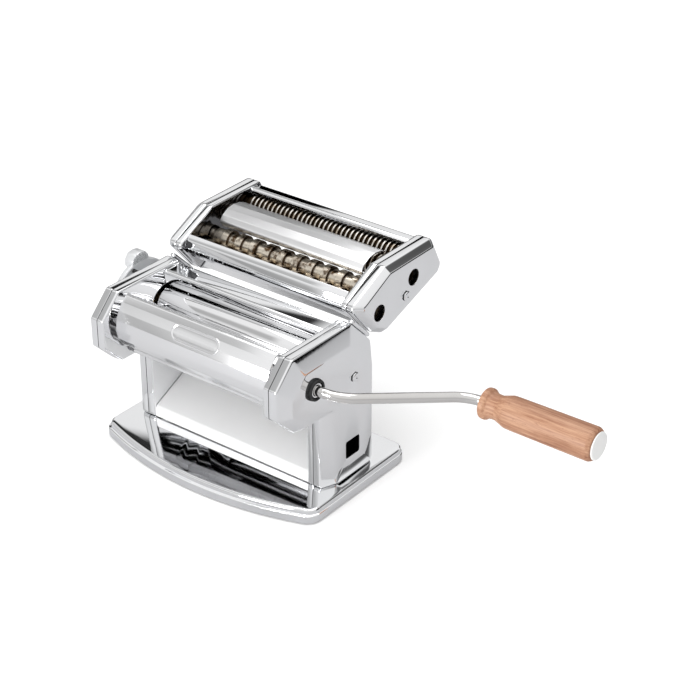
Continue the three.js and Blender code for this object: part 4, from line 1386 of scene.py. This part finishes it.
@dataclass
class CutterHead(Assembly):
    """The detachable head with a wide and a fine pair of cutters, drawn level and then tilted."""

    tilt: float = 16.4
    hinge: tuple[float, float] = (40.3, 136.8)
    corner: float = 5.0
    sheet: float = 1.2
    bevel: tuple[tuple[float, float], ...] = (
        (84.6, 0.0), (89.0, 0.0), (90.0, 0.08), (90.8, 0.4), (91.5, 1.0), (95.0, 4.1), (95.6, 4.9), (95.9, 5.7),
        (96.0, 6.6),
    )
    rim: tuple[tuple[float, float], ...] = (
        (84.0, 0.0), (80.4, 0.0), (79.5, 0.12), (78.9, 0.5), (78.6, 1.0), (78.5, 1.7),
    )
    front_plate: tuple[tuple[float, float], ...] = (
        (-9, 22), (-13.5, 19.6), (-17, 14.5), (-17.4, 10.5), (-16, 6), (-8.6, -10), (-6, -13.5), (-1, -15.5),
    )
    hood: tuple[tuple[float, float], ...] = (
        (19.2, 11.6), (16.4, 17.6), (21.9, 21.2), (28.9, 22.6), (35.9, 21.6), (42.9, 18.4), (47.9, 14),
    )
    rear_plate: tuple[tuple[float, float], ...] = (
        (63.9, 12.4), (66.9, 13.6), (74.9, 10.4), (78.9, 4), (79.9, -12), (74.9, -18.4), (64.9, -20.4),
    )

    def seat(self, piece: bpy.types.Object) -> bpy.types.Object:
        """Tilts a piece drawn level and moves it to the head's place.

        Args:
            piece: The level piece.

        Returns:
            The same piece in its place.
        """
        turn = Matrix.Rotation(math.radians(self.tilt), 4, "X")
        matrix = Matrix.Translation(place(0, *self.hinge)) @ turn @ Matrix.Translation(-place(0, 0, 0))
        piece.data.transform(matrix)
        piece.data.update()
        return piece

    def ring(self, by: float) -> Outline:
        """The end plate's outline, drawn in."""
        return rounded(inset(CUTTER_OUTLINE, [by] * 7), self.corner - 0.2 * by, 6)

    def ends(self) -> None:
        """Cheeks and covers at both ends."""
        cheek = Bench.stack("right", [(x, self.ring(by)) for x, by in self.rim])
        # The inner end of each cutter cheek gets painted shade and a painted dark reflection; its inner side and edges
        # get painted shade.
        Bench.line_cap(cheek, self.finishes.made[Finish.INSIDE])
        Bench.thicken(cheek, 1.5, self.finishes.made[Finish.LINING])
        holes = [Bench.drill(77, 85, 5.8, u, 0) for u in (0, 16.9, 44.5, 61.4)]
        holes.append(Bench.drill(77, 85, 2.3, 32.7, -9.5))
        Bench.carve(cheek, holes)
        Bench.soften(cheek, 0.35, 2, 55)
        names = ("cutter_right_plate", "cutter_left_plate")
        self.pair(self.seat(cheek), names, Finish.CHROME, ("cutter_right_cheek", "cutter_left_cheek"))
        cover = Bench.stack("cover", [(x, self.ring(by)) for x, by in self.bevel])
        # The cover's inner side and edges get painted shade.
        Bench.thicken(cover, self.sheet, self.finishes.made[Finish.LINING])
        Bench.carve(cover, [Bench.drill(84, 98, 2.3, 32.7, -9.5)])
        blank = Bench.twin(cover, "cutter_left_case")
        Bench.carve(cover, [Bench.drill(85, 98, 6.7, u, 0, 56) for u in (0, 44.5)])
        for piece, node in ((cover, "cutter_right_cover"), (blank, "cutter_left_cover")):
            Bench.soften(piece, 0.4, 2, 55)
            piece.name = piece.data.name = node.replace("cover", "case")
            self.deliver(self.seat(piece), Finish.CHROME, (node,))
        rivet = Bench.turn("rivet", Housing.rivet_profile(78.2), 32.7, -9.5, 40)
        names = ("cutter_right_stud", "cutter_left_stud")
        self.pair(self.seat(rivet), names, Finish.CHROME, ("cutter_right_rivet", "cutter_left_rivet"))

    def plates(self) -> None:
        """Front plate, hood and rear cover."""
        for name, node, path, side, half, finish in (
            ("cutter_front_sheet", "cutter_front_plate", self.front_plate, 1, X_SHEET, Finish.CHROME),
            ("cutter_centre_hood", "cutter_hood", self.hood, -1, 70.2, Finish.SATIN),
            ("cutter_rear_sheet", "cutter_rear_cover", self.rear_plate, -1, X_SHEET, Finish.CHROME),
        ):
            smooth = rounded(list(path), 5.0, 7, closed=False)
            sheet = Bench.slab(name, folded(smooth, side * self.sheet), -half, half)
            Bench.soften(sheet, 0.3, 2, 55)
            self.deliver(self.seat(sheet), finish, (node,), crease=40)

    def cutter(self, name: str, u: float, count: int, shift: float, far: float, socket: bool) -> bpy.types.Object:
        """Turns one cutter with its ridges, chamfered teeth and journals.

        Args:
            name: The piece's name.
            u: The axis's place along the level head.
            count: How many ridges it has.
            shift: The share of a pitch that it starts at.
            far: Where its right-hand journal ends.
            socket: Whether it has a drive socket.

        Returns:
            The cutter in its place.
        """
        pitch = 150.0 / (count + 0.5)
        low, high, chamfer = 7.3, 9.0, 0.3
        profile: Outline = [(-84, 0), (-84, 5.4), (-76, 5.4), (-76, low)]
        for index in range(count):
            start = -75 + (index + shift) * pitch
            end = start + pitch / 2
            profile += [
                (start + 0.2, low), (start + 0.2, high - chamfer), (start + 0.2 + chamfer, high),
                (end - 0.2 - chamfer, high), (end - 0.2, high - chamfer), (end - 0.2, low),
            ]
        profile += [(76, low), (76, 5.4), (far, 5.4)]
        profile += [(far, 4.3), (72, 4.3), (72, 0)] if socket else [(far, 0)]
        piece = Bench.turn(name, profile, u, 0, 40 if count > 20 else 64)
        # The ridge sides, and on the fine cutters the groove floors, get painted shade.
        floor = (low + high) / 2 if count > 20 else 0.0
        Bench.line_steps(piece, self.finishes.made[Finish.GROOVE], u, floor)
        return self.seat(piece)

    def cutters(self) -> None:
        """Both pairs of cutters with their gears and strippers."""
        for kind, u, count, finish in (("wide", 0.0, 10, Finish.DARK_STEEL), ("fine", 44.5, 34, Finish.TEETH)):
            front = self.cutter(f"{kind}_cutter_drive", u, count, 0.0, 91.6, True)
            self.deliver(front, finish, (f"{kind}_cutter_front",), f"{kind}_front")
            rear = self.cutter(f"{kind}_cutter_driven", u + 16.9, count, 0.5, 91.8, False)
            self.deliver(rear, finish, (f"{kind}_cutter_rear",), f"{kind}_rear")
            self.keep(Finish.GEAR, f"{kind}_gear_front", f"{kind}_gear_rear")
            self.keep(Finish.STEEL, f"{kind}_stripper")

    def rails(self) -> None:
        """Rounded rails that carry the head on the body's rear slope."""
        shift = 2.2 / math.sqrt(2)
        y, z = 23.75 + shift, 126.75 + shift
        way = Vector((0, 1, -1)).normalized()
        middle = place(88.25, y, z)
        loops = []
        for along, size in (
            (-15, 0.05), (-14.9, 0.3), (-14.5, 0.6), (-13.9, 0.83), (-13.1, 0.97), (-12.5, 1), (12.5, 1),
            (13.1, 0.97), (13.9, 0.83), (14.5, 0.6), (14.9, 0.3), (15, 0.05),
        ):
            lift = Vector((0, 1, 1)).normalized()
            loops.append([
                middle + (way * along + Vector((2.75 * size * math.cos(t), 0,
                0)) + lift * 1.9 * size * math.sin(t)) * MM
                for t in (2 * math.pi * i / 32 for i in range(32))
            ])
        rail = Bench.bridge("right_rail", loops, both=True)
        names = ("right_rest_rail", "left_rest_rail")
        self.pair(rail, names, Finish.CHROME, ("cutter_right_rail", "cutter_left_rail"))

    def build(self) -> None:
        """Builds the head."""
        self.ends()
        self.plates()
        self.cutters()
        self.rails()


@dataclass
class Studio:
    """White table, soft light and the camera."""

    lens: float = 96.0
    azimuth: float = 37.68
    elevation: float = 29.74
    roll: float = -0.08
    eye: tuple[float, float, float] = (821.1, -936.0, 800.0)
    floor: float = 3.2
    flag: tuple[float, float, float] = (0.42, 0.74, 0.53)
    strips: tuple[tuple[float, float], ...] = (
        (-1.0, 0.0), (0.240, 0.0), (0.246, 0.97), (0.330, 0.97), (0.336, 0.0), (0.41, 0.0), (0.416, 0.97),
        (0.455, 0.97), (0.462, 0.0), (0.60, 0.0), (0.66, 0.45), (0.74, 0.45), (0.80, 0.0), (0.96, 0.0), (0.98, 0.4),
        (1.0, 0.4),
    )

    def camera(self) -> None:
        """Sets the camera."""
        Bench.clear()
        data = bpy.data.cameras.new("viewpoint")
        data.lens = self.lens
        data.sensor_width = 36.0
        data.clip_end = 50.0
        camera = bpy.data.objects.new("viewpoint", data)
        camera.location = place(*self.eye)
        camera.rotation_euler = (math.radians(90 - self.elevation), math.radians(self.roll), math.radians(self.azimuth))
        bpy.context.scene.collection.objects.link(camera)
        bpy.context.scene.camera = camera

    def table(self) -> None:
        """Lays the white table top."""
        Bench.clear()
        bpy.ops.mesh.primitive_grid_add(x_subdivisions=4, y_subdivisions=4, size=2 * self.floor, location=(0, 0, 0))
        table = bpy.context.object
        table.name = "table_top"
        graph = Graph("white_table")
        cloud = graph.noise(graph.place(), 3.0)
        white = graph.mix(cloud, (0.82, 0.82, 0.82, 1), (0.84, 0.84, 0.84, 1))
        graph.set(Base_Color=white, Roughness=0.9, Emission_Color=white, Emission_Strength=0.32)
        self.shade_table(graph.material.node_tree)
        table.data.materials.append(graph.material)

    @staticmethod
    def shade_table(tree: bpy.types.NodeTree) -> None:
        """Lets polished metal mirror the table a little greyer than it lies there.

        Args:
            tree: The table material's nodes.
        """
        output = next(node for node in tree.nodes if node.type == "OUTPUT_MATERIAL")
        bright = output.inputs[0].links[0].from_socket
        grey = tree.nodes.new("ShaderNodeBsdfDiffuse")
        grey.inputs[0].default_value = (0.60, 0.60, 0.61, 1)
        path = tree.nodes.new("ShaderNodeLightPath")
        mix = tree.nodes.new("ShaderNodeMixShader")
        tree.links.new(path.outputs["Is Glossy Ray"], mix.inputs[0])
        tree.links.new(bright, mix.inputs[1])
        tree.links.new(grey.outputs[0], mix.inputs[2])
        tree.links.new(mix.outputs[0], output.inputs[0])

    def world(self) -> None:
        """A white tent with dark flags near the horizon that chrome can mirror."""
        world = bpy.data.worlds.new("tent")
        bpy.context.scene.world = world
        world.use_nodes = True
        tree = world.node_tree
        tree.nodes.clear()
        source = tree.nodes.new("ShaderNodeTexCoord")
        split = tree.nodes.new("ShaderNodeSeparateXYZ")
        tree.links.new(source.outputs["Generated"], split.inputs[0])
        sky = self.shades(tree, split.outputs["Z"], (
            (-1.0, 0.62), (0.0, 0.62), (0.18, 0.70), (0.45, 0.86), (0.8, 0.95), (1.0, 0.96),
        ))
        band = self.shades(tree, split.outputs["Z"], (
            (-1.0, 0.0), (-0.06, 0.0), (-0.04, 1.0), (0.26, 1.0), (0.30, 0.0), (1.0, 0.0),
        ))
        rear = self.shades(tree, split.outputs["Y"], ((-1.0, 0.0), (0.0, 0.0), (0.12, 1.0), (1.0, 1.0)))
        angle = self.maths(tree, "ARCTAN2", split.outputs["Z"], split.outputs["Y"])
        strips = self.shades(tree, self.maths(tree, "MULTIPLY", angle, 1 / math.pi), self.strips)
        left = self.shades(tree, split.outputs["X"], ((-1.0, 1.0), (-0.36, 1.0), (-0.3, 0.0), (1.0, 0.0)))
        patch = self.maths(tree, "MULTIPLY", strips, left)
        corner = tree.nodes.new("ShaderNodeVectorMath")
        corner.operation = "DOT_PRODUCT"
        corner.inputs[1].default_value = Vector(self.flag).normalized()
        tree.links.new(source.outputs["Generated"], corner.inputs[0])
        edge = self.shades(tree, corner.outputs["Value"], ((-1.0, 0.0), (0.955, 0.0), (0.985, 0.8), (1.0, 0.9)))
        dark = self.maths(tree, "MAXIMUM", self.maths(tree, "MULTIPLY", band, rear), patch)
        dark = self.maths(tree, "MAXIMUM", dark, edge)
        light = self.maths(tree, "MULTIPLY", sky, self.maths(tree, "SUBTRACT", 1.0, dark))
        path = tree.nodes.new("ShaderNodeLightPath")
        tent = tree.nodes.new("ShaderNodeBackground")
        tree.links.new(light, tent.inputs[0])
        white = tree.nodes.new("ShaderNodeBackground")
        white.inputs[0].default_value = (1, 1, 1, 1)
        mix = tree.nodes.new("ShaderNodeMixShader")
        output = tree.nodes.new("ShaderNodeOutputWorld")
        tree.links.new(path.outputs["Is Camera Ray"], mix.inputs[0])
        tree.links.new(tent.outputs[0], mix.inputs[1])
        tree.links.new(white.outputs[0], mix.inputs[2])
        tree.links.new(mix.outputs[0], output.inputs[0])

    @staticmethod
    def maths(
        tree: bpy.types.NodeTree, operation: str, a: bpy.types.NodeSocket | float, b: bpy.types.NodeSocket | float
    ) -> bpy.types.NodeSocket:
        """A Math node of two values in the tent's tree.

        Args:
            tree: The tent's nodes.
            operation: The operation.
            a: The first value.
            b: The second value.

        Returns:
            The result.
        """
        made = tree.nodes.new("ShaderNodeMath")
        made.operation = operation
        for index, value in enumerate((a, b)):
            if isinstance(value, float):
                made.inputs[index].default_value = value
            else:
                tree.links.new(value, made.inputs[index])
        return made.outputs[0]

    @staticmethod
    def shades(
        tree: bpy.types.NodeTree, value: bpy.types.NodeSocket, stops: Sequence[tuple[float, float]]
    ) -> bpy.types.NodeSocket:
        """A grey level for each value between minus one and one.

        Args:
            tree: The tent's nodes.
            value: What is looked up.
            stops: Values and their grey levels.

        Returns:
            The grey level.
        """
        made = tree.nodes.new("ShaderNodeValToRGB")
        shift = tree.nodes.new("ShaderNodeMath")
        shift.operation = "MULTIPLY_ADD"
        shift.inputs[1].default_value = 0.5
        shift.inputs[2].default_value = 0.5
        tree.links.new(value, shift.inputs[0])
        tree.links.new(shift.outputs[0], made.inputs[0])
        while len(made.color_ramp.elements) < len(stops):
            made.color_ramp.elements.new(0.5)
        for element, (position, level) in zip(made.color_ramp.elements, stops):
            element.position = position / 2 + 0.5
            element.color = (level, level, level, 1)
        return made.outputs[0]

    def light(self, name: str, at: tuple[float, float, float], size: float, power: float) -> None:
        """Hangs one soft light that looks at the machine.

        Args:
            name: The light's name.
            at: Its place in metres.
            size: Its side in metres.
            power: Its power in watts.
        """
        data = bpy.data.lights.new(name, "AREA")
        data.shape = "SQUARE"
        data.size = size
        data.energy = power
        lamp = bpy.data.objects.new(name, data)
        lamp.location = at
        lamp.rotation_euler = (Vector((0, 0, 0.1)) - Vector(at)).to_track_quat("-Z", "Y").to_euler()
        bpy.context.scene.collection.objects.link(lamp)

    def build(self) -> None:
        """Sets the whole stage."""
        self.camera()
        self.table()
        self.world()
        self.light("overhead", (-0.2, 0.3, 2.2), 1.6, 17.0)
        self.light("front_fill", (-0.2, -1.3, 0.30), 0.4, 9.0)
        bpy.context.scene.view_settings.view_transform = "Standard"
        bpy.context.scene.view_settings.look = "None"


def main() -> None:
    """Builds every sub-assembly in order."""
    logging.basicConfig(level=logging.INFO, format="%(message)s")
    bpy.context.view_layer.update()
    studio = Studio()
    studio.build()
    finishes = Finishes()
    finishes.prepare()
    for assembly in (
        Base(finishes), Housing(finishes), Rollers(finishes, "front_roller"), Crank(finishes, "crank"),
        Adjuster(finishes, "adjuster"), CutterHead(finishes, "cutter_head"),
    ):
        assembly.build()
    Bench.clear()


if __name__ == "__main__":
    main()
